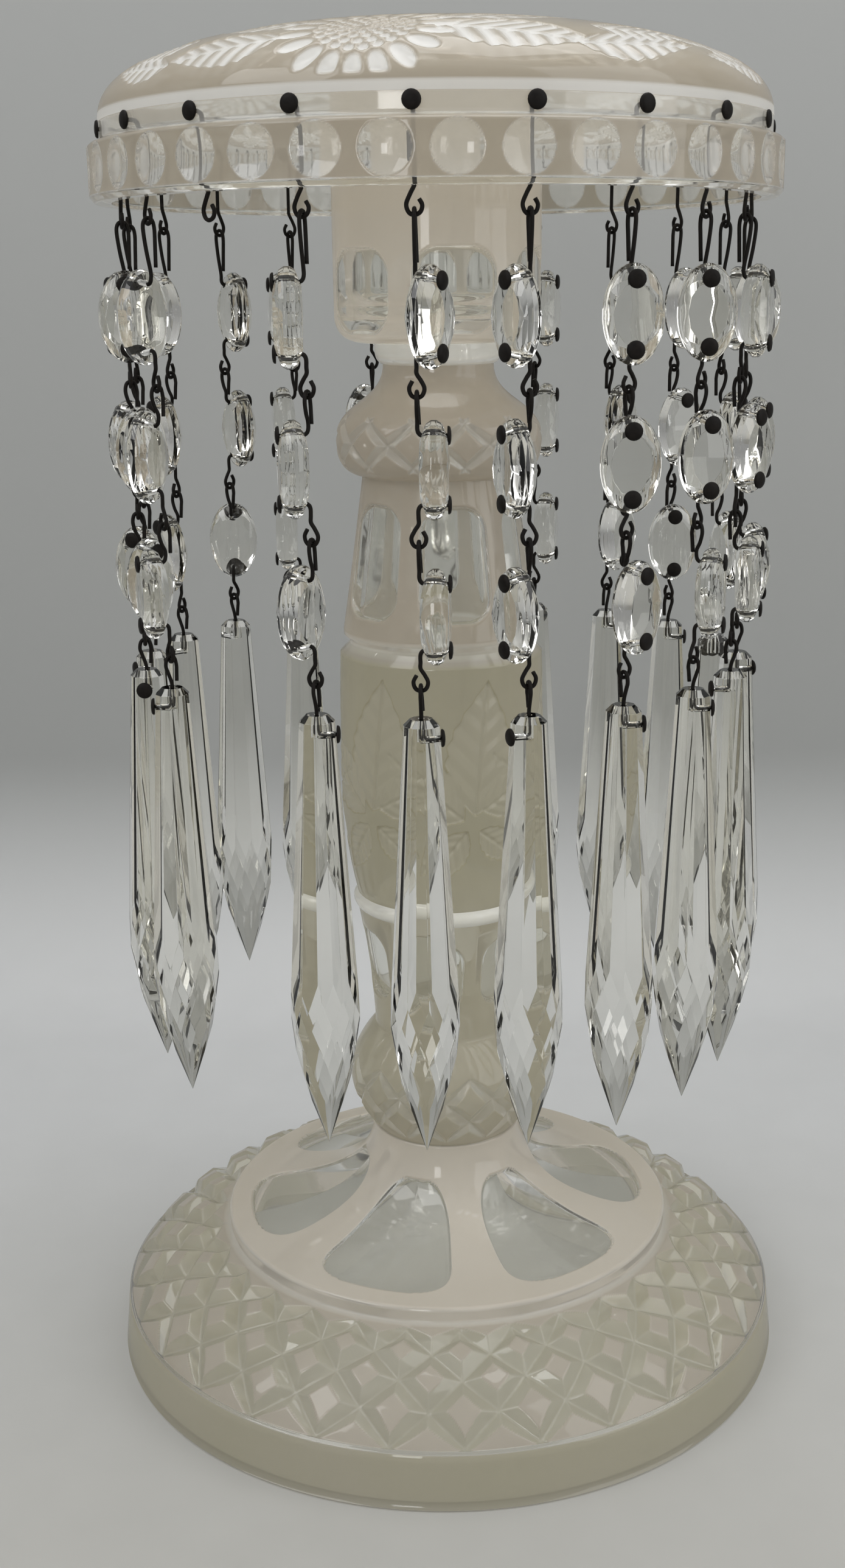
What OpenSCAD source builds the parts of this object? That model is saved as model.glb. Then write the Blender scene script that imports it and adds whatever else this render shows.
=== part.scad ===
// Mantel lustre: a cut-glass stand whose domed canopy carries a ring of hanging prisms.
// Origin at the centre of the foot's underside, +Z up, millimetres.

/* [Foot] */
// Diameter of the foot at the table
foot_d = 178; // [165:1:195]
// Height of the plain rim band
foot_rim_h = 15; // [11:0.5:19]
// How far the rim band leans in over its height
foot_rim_lean = 1.4; // [0.5:0.1:2.5]
// Height of the cut shoulder above the rim band
shoulder_rise = 16.5; // [13:0.5:20]
// How far the shoulder swells out past a straight cone
shoulder_swell = 3.2; // [2:0.1:4.5]
// Diameter of the raised disc
disc_d = 119; // [110:1:126]
// Height of the step round the disc
disc_step = 4; // [2.5:0.5:6]
// Width of the ledge outside the disc's step
disc_ledge = 2; // [1:0.25:3]
// Height of the flare from the disc up to the neck
flare_rise = 23; // [18:0.5:28]
// Diameter of the neck over the flare
foot_neck_d = 39; // [35:0.5:43]
// Thickness of the glass in the foot
foot_wall = 6; // [5:0.25:7]

/* [Foot cutting] */
// Number of mitre cuts each way round the shoulder
mitre_n = 30; // [24:1:34]
// Depth of a mitre cut at its middle
mitre_depth = 3.4; // [2:0.1:3.6]
// Half of the angle between a mitre cut's walls
mitre_half_angle = 52; // [40:1:60]
// Slant of a mitre cut from the level
mitre_slant = 45; // [35:1:55]
// Turn of the mitre cuts from the front, in degrees
mitre_turn = 2.5; // [0:0.5:12]
// Number of petal-shaped hollows on the disc
petal_n = 6; // [5:1:8]
// Depth of a petal hollow
petal_depth = 1.2; // [0.6:0.1:2]
// Distance of a petal hollow's inner end from the axis
petal_from = 22; // [21:0.5:30]
// Distance of a petal hollow's outer end from the axis
petal_to = 53.5; // [46:0.5:54.5]
// Angle of the plain web between two petal hollows, seen from the axis
petal_web_angle = 16; // [10:0.5:22]

/* [Lower stem] */
// Diameter of the cut knop over the foot
lower_knop_d = 51; // [47:0.5:55]
// Height of the cut knop over the foot
lower_knop_h = 29; // [25:0.5:33]
// Diameter of the waist over the knop
waist_d = 37; // [34:0.5:40]
// Height of the tapered stem over the waist
lower_stem_h = 33; // [27:0.5:36]
// Diameter at the top of the tapered stem
lower_stem_top_d = 45; // [41:0.5:47]
// Thickness of the glass in the stem
stem_wall = 5; // [4:0.25:6]

/* [Wafers] */
// Diameter of the clear wafer under the baluster
lower_wafer_d = 48; // [46:0.5:52]
// Thickness of the clear wafer under the baluster
lower_wafer_h = 4; // [3:0.5:7]
// Diameter of the clear wafer under the candle cup
upper_wafer_d = 31; // [29:0.5:36]
// Thickness of the clear wafer under the candle cup
upper_wafer_h = 5; // [3:0.5:8]

/* [Column] */
// Diameter of the baluster
baluster_d = 52.6; // [49:0.2:56]
// Height of the baluster
baluster_h = 66; // [58:0.5:74]
// Height of the groove between the baluster and the upper column
column_groove_h = 6; // [4.5:0.5:8]
// Diameter at the bottom of that groove
column_groove_d = 46.2; // [43:0.2:48]
// Diameter of the upper column at its foot
column_foot_d = 49; // [46:0.5:51]
// Diameter of the upper column at its top
column_top_d = 38; // [35:0.5:41]
// Height of the upper column
column_h = 38; // [32:0.5:44]
// Diameter of the upper knop
upper_knop_d = 50.6; // [47:0.2:54]
// Height of the upper knop with its neck
upper_knop_h = 26.5; // [23:0.5:31]
// Diameter of the neck under the candle cup
neck_d = 27; // [24:0.5:29]

/* [Stem cutting] */
// Number of windows round each part of the stem
window_n = 6; // [5:1:6]
// Turn of the first window of the cup and the column from the front, in degrees
window_turn = 9.7; // [0:0.1:30]
// Turn of the first window of the lower stem from the front, in degrees
stem_window_turn = -9; // [-30:0.5:30]
// Height of a window on the upper column
column_window_h = 28; // [22:0.5:31]
// Height of a window on the lower stem
stem_window_h = 19; // [14:0.5:22]
// Angle of the plain web between two windows, seen from the axis
window_web_angle = 12; // [10:0.5:20]
// Number of mitre cuts each way round a knop
knop_mitre_n = 12; // [10:1:14]
// Depth of a mitre cut on a knop
knop_mitre_depth = 1.4; // [0.8:0.1:2]
// Number of leaf sprays cut round the baluster
spray_n = 6; // [4:1:6]
// Depth of a leaf cut on the baluster and the dome
leaf_depth = 0.9; // [0.5:0.1:1.3]

/* [Candle cup] */
// Outer diameter of the candle cup
cup_d = 50; // [46:0.5:54]
// Thickness of the cup's wall
cup_wall = 4; // [3:0.25:5]
// Thickness of the cup's floor
cup_floor = 5; // [4:0.5:7]
// Height of the cup from the wafer to the canopy's seat
cup_h = 64.5; // [60:0.5:70]
// Height of an arched window on the cup
arch_h = 20; // [15:0.5:24]

/* [Canopy] */
// Diameter of the canopy's band
canopy_d = 162; // [150:1:170]
// Thickness of the canopy's wall at the band
canopy_wall = 5; // [4.5:0.25:6]
// Height of the band
band_h = 12.6; // [11.5:0.2:15]
// Height of the groove over the band
canopy_groove_h = 4.8; // [4.2:0.2:7]
// Depth of the groove over the band
canopy_groove_depth = 2.8; // [1.8:0.1:3]
// Rise of the dome over the groove
dome_rise = 20.5; // [17:0.5:25]
// Fullness of the dome's outline, 2 for an ellipse and more for squarer shoulders
dome_full_ratio = 2.45; // [2:0.05:3]
// Thickness of the dome at its crown
crown_t = 5.5; // [4.5:0.25:7]
// Number of round windows on the band
band_window_n = 36; // [30:1:36]
// Diameter of a round window on the band
band_window_d = 10.9; // [8:0.1:11]
// Depth of a round window on the band
band_window_depth = 1.2; // [0.6:0.1:1.5]
// Turn of the first round window from the front, in degrees
band_window_turn = 3; // [0:0.5:9]
// Number of cut flowers round the dome
flower_n = 3; // [2:1:4]
// Turn of the first flower from the front, in degrees
flower_turn = -12; // [-30:1:30]

/* [Pendants] */
// Number of hanging pendants
pendant_n = 20; // [12:1:20]
// Turn of the first pendant from the front, in degrees
pendant_turn = -3.4; // [-9:0.1:9]
// The rim pin that carries no pendant, counted from the front, or 0 for a full set
bare_pin_n = 19; // [0:1:20]
// Height of the rim pins over the band
pin_rise = 3; // [2.8:0.1:3.4]
// Distance of the hanging wire from the canopy's wall
chain_gap = 1.8; // [1.6:0.1:3]
// Drop of the first eye below the canopy's rim
eye_drop = 5.5; // [5:0.25:9]
// Drop from the first eye to the hole of the first bead
top_link = 12.6; // [9:0.2:16]
// Drop from one bead's lower hole to the next bead's upper hole
bead_link = 16.4; // [14:0.2:20]
// Drop from the last eye to the top of the prism
prism_link = 6; // [5:0.2:9]

/* [Beads] */
// Number of beads in a strand
bead_n = 3; // [2:1:3]
// Length of a bead
bead_l = 20.5; // [18:0.5:22.5]
// Width of a bead
bead_w = 13; // [11:0.5:15]
// Thickness of a bead
bead_t = 6; // [5:0.25:7.5]
// Distance of a bead's holes from its ends
bead_hole_inset = 3.2; // [2.6:0.1:3.8]

/* [Prism] */
// Length of a prism
prism_l = 101.6; // [90:0.2:104]
// Diameter of a prism over its corners at the top
prism_top_d = 8; // [7:0.2:9]
// Diameter of a prism over its corners at its widest
prism_d = 15.6; // [13:0.2:17]
// Distance of the widest place below the top
prism_wide_at = 64; // [62:0.5:68]
// Height between the rings of lozenge corners
prism_row_h = 6.8; // [6.4:0.1:7.6]
// Distance of the cross hole below the top
prism_hole_inset = 4.5; // [4:0.25:6]

/* [Pins] */
// Diameter of the pin wire
wire_d = 0.8; // [0.7:0.05:1.1]
// Diameter of a pin's head
head_d = 3.9; // [3:0.1:4.4]
// Thickness of a pin's head
head_h = 0.8; // [0.6:0.1:1.2]
// Radius of an eye's round end, at the wire's centre
eye_r = 1.6; // [1.5:0.1:1.9]
// Radius of the bend between a pin's leg and its shank
bend_r = 1.2; // [1:0.1:1.5]
// Free space between two linked eyes
link_gap = 0.3; // [0.2:0.05:0.4]
// Free space round a wire in its hole
hole_gap = 0.3; // [0.2:0.05:0.5]
// Free space under a pin's head
head_gap = 0.15; // [0.1:0.05:0.3]

/* [Hidden] */
$fn = 48;
curve_steps = 8;
prism_sides = 10;
wire_fn = 24;
wheel_fn = 96;
// Bevel of the ground edges
edge_break = 0.6;
// Height and depth of the fine line over the foot's rim band
rim_line = 0.8;
// Depth of the step where the knop rises from the neck under it
neck_step = 0.8;
// How far a tapered stem bows out past its waist
stem_bow = 0.6;
// How far the flare's bend stands out from the neck and over the disc
flare_bend_out = [1.5, 2];
// How far the hollow under the foot stays inside the disc's edge
hollow_margin = 8;
// How far the canopy's mouth is rounded over the cup's bore
mouth_lip = 1.5;
// Free space between the canopy and the cup it sits on
seat_gap = 0.2;

// Levels of the stand, from the table up
z_shoulder = foot_rim_h + shoulder_rise;
z_disc = z_shoulder + disc_step;
z_foot_neck = z_disc + flare_rise;
z_waist = z_foot_neck + lower_knop_h;
z_lower_wafer = z_waist + lower_stem_h;
z_baluster = z_lower_wafer + lower_wafer_h;
z_groove = z_baluster + baluster_h - column_groove_h / 2;
z_column = z_baluster + baluster_h + column_groove_h / 2;
z_upper_knop = z_column + column_h;
z_upper_wafer = z_upper_knop + upper_knop_h;
z_cup = z_upper_wafer + upper_wafer_h;
z_seat = z_cup + cup_h;

// Levels of the canopy, hung from the cup's top
z_dome = z_seat + crown_t - dome_rise;
z_band_top = z_dome - canopy_groove_h;
z_rim = z_band_top - band_h;
z_pin = z_band_top + pin_rise;

// Radii that several pieces share
foot_r = foot_d / 2;
disc_r = disc_d / 2;
cup_r = cup_d / 2;
cup_bore_r = cup_r - cup_wall;
canopy_r = canopy_d / 2;
canopy_bore_r = canopy_r - canopy_wall;
groove_r = canopy_r - canopy_groove_depth;
chain_r = canopy_bore_r - chain_gap;
seat_r = cup_r + seat_gap;

// Outline of the dome at an angle from its base, with the angles of the mouth and of the cup's seat
function dome_at(r, rise, a) =
    [r * cos(a) ^ (2 / dome_full_ratio), z_dome + rise * sin(a) ^ (2 / dome_full_ratio)];
function dome_angle(r, at_r) = acos((at_r / r) ^ (dome_full_ratio / 2));
function dome_tilt(r, rise, a) =
    let (power = 2 - 2 / dome_full_ratio) atan2(sin(a) ^ power / rise, cos(a) ^ power / r);
mouth_angle = dome_angle(groove_r, cup_bore_r + mouth_lip);
seat_angle = dome_angle(canopy_bore_r, seat_r);
z_mouth = dome_at(groove_r, dome_rise, mouth_angle)[1] - mouth_lip;

// Places along a hanging pendant, down from the eye it swings on
eye_top = 3 * eye_r;
eye_foot = 3 * eye_r - wire_d - link_gap;
hole_span = bead_l - 2 * bead_hole_inset;
bead_pitch = hole_span + bead_link;
hang_link = (bead_link + eye_top - eye_foot) / 2;
z_swing = z_rim - eye_drop;
prism_swing_drop = top_link + (bead_n - 1) * bead_pitch + hole_span + hang_link;
wire_hole_d = wire_d + 2 * hole_gap;
pendant_step = 360 / pendant_n;

// Turn round the dome and slant of the leaves on either side of a flower
leaf_places = [[22, 25], [31, -20], [40, 30], [50, -15]];

// Shares of a bead's half length, and the share of its thickness left there
bead_stations = [[0, 1], [0.5, 0.94], [0.82, 0.72], [1, 0.44]];

// Turns of a strand's beads and of its prism about their wires, from facing outwards, for each pendant
// from the front round to the right
bead_turns = [
    [61, 91, 88], [-70, -83, -73], [-27, -28, 8], [-45, -33, 24], [1, -24, 11],
    [-57, -27, 13], [-25, -45, 5], [-83, -93, -118], [-66, -81, -96], [-84, -79, -79],
    [20, -40, 65], [-50, 30, -70], [67, 67, 60], [-111, -111, -51], [80, 61, 61],
    [40, -30, 70], [85, 115, 125], [-73, -53, -13], [0, 0, 0], [-66, -59, -104]
];
prism_turns = [100, -80, 60, 34, -154, 20, 70, -43, -60, 45, -20, 80, -50, -10, 65, 30, 75, -28, 0, 110];

function two_digits(n) = n < 10 ? str("0", n) : str(n);
function strand_name(k) = str("bead_strand_", two_digits(k + 1));
function prism_name(k) = str("prism_", two_digits(k + 1));

hung = [for (k = [0 : pendant_n - 1]) if (k + 1 != bare_pin_n) k];

// Curves for the turned outlines
function curve3(a, b, c, steps = curve_steps) =
    [for (i = [0 : steps]) let (t = i / steps) (1 - t) ^ 2 * a + 2 * t * (1 - t) * b + t ^ 2 * c];
function curve4(a, b, c, d, steps = curve_steps) =
    [for (i = [0 : steps]) let (t = i / steps, u = 1 - t)
        u ^ 3 * a + 3 * u ^ 2 * t * b + 3 * u * t ^ 2 * c + t ^ 3 * d];
function swelling(a, b, swell, steps = curve_steps) =
    [for (i = [0 : steps]) let (t = i / steps) a + t * (b - a) + [swell * sin(180 * t) ^ 0.85, 0]];
function rounded_pane(w, h, r, top_w) =
    [for (q = [0 : 3]) for (a = [0 : 15 : 90])
        let (x = (q == 0 || q == 3 ? 1 : -1), y = (q < 2 ? 1 : -1), across = (q < 2 ? top_w : w))
            [x * (across / 2 - r) + r * cos(90 * q + a), y * (h / 2 - r) + r * sin(90 * q + a)]];
function middle(a, b) = (a + b) / 2;
function square_to(v) = [v[1], -v[0]] / norm(v);

// Outline of the foot's shoulder, from the rim band up to the disc's ledge
shoulder_foot = [foot_r - foot_rim_lean - rim_line, foot_rim_h];
shoulder_top = [disc_r + disc_ledge, z_shoulder];
shoulder_out = square_to(shoulder_top - shoulder_foot);
shoulder_bend = middle(shoulder_foot, shoulder_top) + 2 * shoulder_swell * shoulder_out;
shoulder_mid = middle(shoulder_foot, shoulder_top) + shoulder_swell * shoulder_out;
shoulder_tilt = atan2(shoulder_out[1], shoulder_out[0]);

// Outline of the flare, from the disc's edge up to the neck
flare_edge = [disc_r - edge_break, z_disc];
flare_bend = [foot_neck_d / 2, z_disc] + flare_bend_out;
flare_neck = [foot_neck_d / 2, z_foot_neck];
function flare_at(t) = (1 - t) ^ 2 * flare_edge + 2 * t * (1 - t) * flare_bend + t ^ 2 * flare_neck;
function flare_way(t) = (1 - t) * (flare_bend - flare_edge) + t * (flare_neck - flare_bend);
function flare_off(t, off) = flare_at(t) + off * square_to(flare_way(t));

// Half width of a petal hollow at a share of its length, rounded off at both ends
function petal_half_w(t) =
    let (r = petal_from + t * (petal_to - petal_from))
        r * sin(180 / petal_n - petal_web_angle / 2) * max(0, 1 - abs(2 * t - 1) ^ 4) ^ 0.25;

// Groove ground across a surface: a long wedge along X whose edge lies depth below the origin
module mitre_wedge(depth, length) {
    over = 2;
    half_w = (depth + over) * tan(mitre_half_angle);
    rotate([90, 0, 90])
        linear_extrude(height = length, center = true)
            polygon([[0, -depth], [half_w, over], [-half_w, over]]);
}

// Straight cuts that cross at one place of a turned surface that faces out at the given tilt
module crossing_cuts(at, tilt, slants, depth, length) {
    translate([0, -at[0], at[1]])
        rotate([90 - tilt, 0, 0])
            for (slant = slants)
                rotate([0, 0, slant])
                    mitre_wedge(depth, length);
}

// Two crossing sets of mitre cuts round a turned surface
module mitre_lattice(count, turn, at, tilt, depth, length) {
    for (k = [0 : count - 1])
        rotate([0, 0, turn + k * 360 / count])
            crossing_cuts(at, tilt, [-mitre_slant, mitre_slant], depth, length);
}

// Flat windows with rounded corners round a stem, between its outline's points low and high
module windows(turn, low, high) {
    half = 180 / window_n - window_web_angle / 2;
    mid = middle(low, high);
    lean = atan((high[0] - low[0]) / (high[1] - low[1]));
    low_w = 2 * low[0] * sin(half);
    high_w = 2 * high[0] * sin(half);
    outline = rounded_pane(low_w, norm(high - low), 0.34 * min(low_w, high_w), high_w);
    for (k = [0 : window_n - 1])
        rotate([0, 0, turn + k * 360 / window_n])
            translate([0, -mid[0] * cos(half), mid[1]])
                rotate([90 + lean, 0, 0])
                    linear_extrude(height = mid[0] / 2)
                        polygon(outline);
}

// Stem's outline at a share of its height, straight from one point to another
function part_way(a, b, t) = a + t * (b - a);

// Petal hollows ground to an even depth into the flare round the disc
module petals() {
    shares = [for (i = [0 : 12]) (1 - cos(15 * i)) / 2];
    outline = concat(
        [for (t = shares) [petal_half_w(t), -petal_from - t * (petal_to - petal_from)]],
        [for (i = [11 : -1 : 1]) let (t = shares[i])
            [-petal_half_w(t), -petal_from - t * (petal_to - petal_from)]]
    );
    steps = [for (i = [0 : curve_steps]) i / curve_steps];
    intersection() {
        rotate_extrude($fn = wheel_fn)
            polygon(concat(
                [for (t = steps) flare_off(t, -petal_depth)],
                [for (i = [curve_steps : -1 : 0]) flare_off(steps[i], petal_depth)]
            ));
        for (k = [0 : petal_n - 1])
            rotate([0, 0, window_turn + (k + 0.5) * 360 / petal_n])
                linear_extrude(height = z_foot_neck)
                    polygon(outline);
    }
}

// Hollow foot with its cut shoulder, petal disc, lower knop and tapered lower stem
module foot() {
    stem_r = lower_stem_top_d / 2;
    waist_r = waist_d / 2;
    neck_bore_r = foot_neck_d / 2 - foot_wall;
    waist_bore_r = waist_r - stem_wall;
    knop_swell = lower_knop_d / 2 - middle(foot_neck_d, waist_d) / 2;
    hollow_top = z_disc - foot_wall;
    mitre_l = 2.6 * shoulder_rise;
    z_window = z_waist + 0.56 * lower_stem_h;
    window_low = [waist_r, z_window - stem_window_h / 2];
    window_high = [part_way(waist_r, stem_r, 0.75), z_window + stem_window_h / 2];
    hollow_edge = [disc_r - hollow_margin, hollow_top - 1];
    outside = concat(
        [[foot_r - edge_break, 0], [foot_r, edge_break], [foot_r - foot_rim_lean, foot_rim_h - rim_line]],
        curve3(shoulder_foot, shoulder_bend, shoulder_top),
        [[disc_r, z_shoulder], [disc_r, z_disc - edge_break]],
        curve3(flare_edge, flare_bend, flare_neck),
        swelling(flare_neck - [neck_step, 0], [waist_r, z_waist], knop_swell + neck_step / 2,
                 2 * curve_steps),
        curve3([waist_r + stem_bow / 6, z_waist + 1], [waist_r + stem_bow, z_waist + lower_stem_h * 0.45],
               [stem_r, z_lower_wafer])
    );
    inside = concat(
        [[stem_r - stem_wall, z_lower_wafer], [waist_bore_r, z_waist]],
        [[lower_knop_d / 2 - foot_wall, middle(z_waist, z_foot_neck)], [neck_bore_r, z_foot_neck]],
        curve3([neck_bore_r, z_foot_neck - 4], [neck_bore_r, hollow_top + 1], hollow_edge),
        [[shoulder_foot[0] - foot_wall, foot_rim_h - 2], [foot_r - foot_wall, 0]]
    );
    color("ivory")
        difference() {
            rotate_extrude($fn = wheel_fn) polygon(concat(outside, inside));
            mitre_lattice(mitre_n, mitre_turn, shoulder_mid, shoulder_tilt, mitre_depth, mitre_l);
            petals();
            mitre_lattice(knop_mitre_n, 0, [lower_knop_d / 2, middle(z_foot_neck, z_waist)], 0,
                          knop_mitre_depth, lower_knop_h);
            windows(stem_window_turn, window_low, window_high);
        }
}

// Clear wafer that joins the foot to the baluster
module lower_wafer() {
    bulge = 2.6;
    face_r = lower_wafer_d / 2 - bulge / 2 - 0.7;
    color("whitesmoke")
        translate([0, 0, z_lower_wafer])
            rotate_extrude()
                polygon(concat([[0, 0]],
                    curve3([face_r, 0], [face_r + bulge, lower_wafer_h / 2], [face_r, lower_wafer_h]),
                    [[0, lower_wafer_h]]));
}

// Hollow baluster, upper column and upper knop, blown in one
module column() {
    baluster_r = baluster_d / 2;
    foot_end = [lower_wafer_d / 2 - 1.5, z_baluster];
    knop_r = upper_knop_d / 2;
    knop_z = z_upper_knop + upper_knop_h * 0.32;
    column_r = column_foot_d / 2;
    column_top_r = column_top_d / 2;
    neck_r = neck_d / 2;
    swell_z = z_baluster + baluster_h * 0.24;
    belly_z = z_baluster + baluster_h * 0.55;
    z_window = z_column + 0.48 * column_h;
    window_low = [part_way(column_r, column_top_r, 0.2), z_window - column_window_h / 2];
    window_high = [part_way(column_r, column_top_r, 0.86), z_window + column_window_h / 2];
    spray_z = z_baluster + baluster_h * 0.46;
    leaf_l = baluster_h / 2;
    bow = [column_top_r + 2.8, z_column + column_h * 0.45];
    outside = concat(
        curve3(foot_end, [baluster_r, swell_z], [baluster_r, belly_z]),
        [[baluster_r - neck_step, z_groove], [column_groove_d / 2, z_baluster + baluster_h],
         [column_r, z_column - column_groove_h * 0.2]],
        curve3([column_r, z_column], bow, [column_top_r, z_upper_knop]),
        curve3([column_top_r + neck_step / 2, z_upper_knop], [knop_r, z_upper_knop + 1], [knop_r, knop_z]),
        curve4([knop_r, knop_z], [knop_r, middle(knop_z, z_upper_wafer) + 0.5],
               [neck_r, middle(knop_z, z_upper_wafer)], [neck_r, z_upper_wafer])
    );
    inside = [
        [neck_r - stem_wall, z_upper_wafer], [neck_r - stem_wall, middle(knop_z, z_upper_wafer)],
        [knop_r - stem_wall - 1.5, knop_z], [column_top_r - stem_wall, z_upper_knop],
        [column_groove_d / 2 - stem_wall, z_column], [baluster_r - stem_wall, z_groove - stem_wall],
        [baluster_r - stem_wall, z_baluster + baluster_h * 0.4], [foot_end[0] - stem_wall, z_baluster]
    ];
    color("ivory")
        difference() {
            rotate_extrude() polygon(concat(outside, inside));
            windows(window_turn, window_low, window_high);
            mitre_lattice(knop_mitre_n, 0, [knop_r, knop_z], 0, knop_mitre_depth, upper_knop_h);
            for (k = [0 : spray_n - 1])
                rotate([0, 0, window_turn + k * 360 / spray_n])
                    crossing_cuts([baluster_r, spray_z], 0, [90, 40, 140], leaf_depth, leaf_l);
        }
}

// Clear wafer that joins the column to the candle cup
module upper_wafer() {
    color("whitesmoke")
        translate([0, 0, z_upper_wafer])
            cylinder(d1 = neck_d - 1, d2 = upper_wafer_d, h = upper_wafer_h);
}

// Candle cup with arched windows, open at the top
module candle_cup() {
    round_h = 7;
    floor_round = 4;
    floor_z = z_cup + cup_floor;
    outside = concat(
        [[0, z_cup]],
        curve3([upper_wafer_d / 2 + 1, z_cup], [cup_r, z_cup], [cup_r, z_cup + round_h]),
        [[cup_r, z_seat], [cup_bore_r, z_seat]]
    );
    inside = concat(
        curve3([cup_bore_r, floor_z + floor_round], [cup_bore_r, floor_z],
               [cup_bore_r - floor_round, floor_z], 4),
        [[0, floor_z]]
    );
    window_low = [cup_r, z_cup + 2];
    color("ivory")
        difference() {
            rotate_extrude($fn = wheel_fn) polygon(concat(outside, inside));
            windows(window_turn, window_low, window_low + [0, arch_h]);
        }
}

// Domed canopy with its pin groove and windowed band
module canopy() {
    bevel = 1.2;
    inner_rise = dome_rise - crown_t;
    steps = 2 * curve_steps;
    outside = concat(
        [[canopy_r - bevel, z_rim], [canopy_r, z_rim + bevel], [canopy_r, z_band_top - edge_break],
         [canopy_r - edge_break, z_band_top], [groove_r, z_band_top + edge_break]],
        [for (i = [0 : steps]) dome_at(groove_r, dome_rise, mouth_angle * i / steps)]
    );
    inside = concat(
        [[cup_bore_r, z_mouth], [cup_bore_r, z_seat], [seat_r, z_seat]],
        [for (i = [steps : -1 : 0]) dome_at(canopy_bore_r, inner_rise, seat_angle * i / steps)],
        [[canopy_bore_r, z_rim]]
    );
    flower_angle = 38;
    flower_at = dome_at(groove_r, dome_rise, flower_angle);
    flower_tilt = dome_tilt(groove_r, dome_rise, flower_angle);
    leaf_l = 1.6 * dome_rise;
    wheel_r = ((band_window_d / 2) ^ 2 + band_window_depth ^ 2) / (2 * band_window_depth);
    window_z = middle(z_rim + bevel, z_band_top);
    color("ivory")
        difference() {
            rotate_extrude($fn = 120) polygon(concat(outside, inside));
            for (k = [0 : band_window_n - 1])
                rotate([0, 0, band_window_turn + k * 360 / band_window_n])
                    translate([0, band_window_depth - wheel_r - canopy_r, window_z])
                        sphere(r = wheel_r);
            for (k = [0 : pendant_n - 1])
                at_pendant(k)
                    translate([0, 0, z_pin])
                        rotate([90, 0, 0])
                            translate([0, 0, chain_r])
                                cylinder(d = wire_hole_d, h = canopy_r - chain_r);
            for (k = [0 : flower_n - 1])
                rotate([0, 0, flower_turn + k * 360 / flower_n]) {
                    crossing_cuts(flower_at, flower_tilt, [0 : 30 : 150], leaf_depth, leaf_l);
                    for (side = [-1, 1])
                        for (leaf = leaf_places)
                            rotate([0, 0, side * leaf[0]])
                                crossing_cuts(flower_at, flower_tilt, [side * leaf[1]], leaf_depth, leaf_l);
                }
        }
}

// Turns a piece drawn at the front to the place of one pendant
module at_pendant(k) {
    rotate([0, 0, pendant_turn + k * pendant_step]) children();
}

// Eye at the lower end of a wire: its lowest wire passes through the origin, in the plane of X and Z
module hanging_eye() {
    translate([0, 0, eye_r])
        rotate([90, 0, 0]) {
            rotate([0, 0, 150])
                rotate_extrude(angle = 240) translate([eye_r, 0]) circle(d = wire_d, $fn = wire_fn);
            for (side = [-1, 1])
                translate([side * eye_r * sin(60), eye_r * cos(60), 0])
                    rotate([0, 0, side * 30])
                        rotate([-90, 0, 0])
                            cylinder(d = wire_d, h = eye_r * tan(60), $fn = wire_fn);
            translate([0, 2 * eye_r, 0]) sphere(d = wire_d * 1.1, $fn = wire_fn);
        }
}

// Eye at the upper end of a wire, hooked into a hanging eye whose lowest wire is at the origin
module standing_eye() {
    translate([0, 0, wire_d + link_gap])
        rotate([0, 0, 90])
            mirror([0, 0, 1])
                hanging_eye();
}

// Leg of a pin from the origin down to its hole, then out along -Y to its head
module pin_leg(drop, reach) {
    translate([0, 0, bend_r - drop]) cylinder(d = wire_d, h = drop - bend_r, $fn = wire_fn);
    translate([0, -bend_r, bend_r - drop])
        rotate([-90, 0, 90])
            rotate_extrude(angle = 90) translate([bend_r, 0]) circle(d = wire_d, $fn = wire_fn);
    translate([0, -bend_r, -drop])
        rotate([90, 0, 0])
            cylinder(d = wire_d, h = reach - bend_r, $fn = wire_fn);
    translate([0, -reach, -drop])
        rotate([90, 0, 0])
            cylinder(d = head_d, h = head_h, $fn = wire_fn);
}

// Pins that pass through the canopy's groove and end in an eye below the rim
module rim_pins() {
    color("black")
        for (k = [0 : pendant_n - 1])
            at_pendant(k)
                translate([0, -chain_r, z_swing]) {
                    hanging_eye();
                    mirror([0, 0, 1])
                        translate([0, 0, -eye_top])
                            pin_leg(z_pin - z_swing - eye_top, groove_r - chain_r + head_gap);
                }
}

// Half thickness of a bead at a distance from its middle
function bead_half_t(z) = lookup(abs(z) / (bead_l / 2), bead_stations) * bead_t / 2;
bead_out = bead_half_t(hole_span / 2) + hole_gap + wire_d / 2;
bead_reach = bead_out + bead_half_t(hole_span / 2 - head_d / 2) + head_gap;

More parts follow.
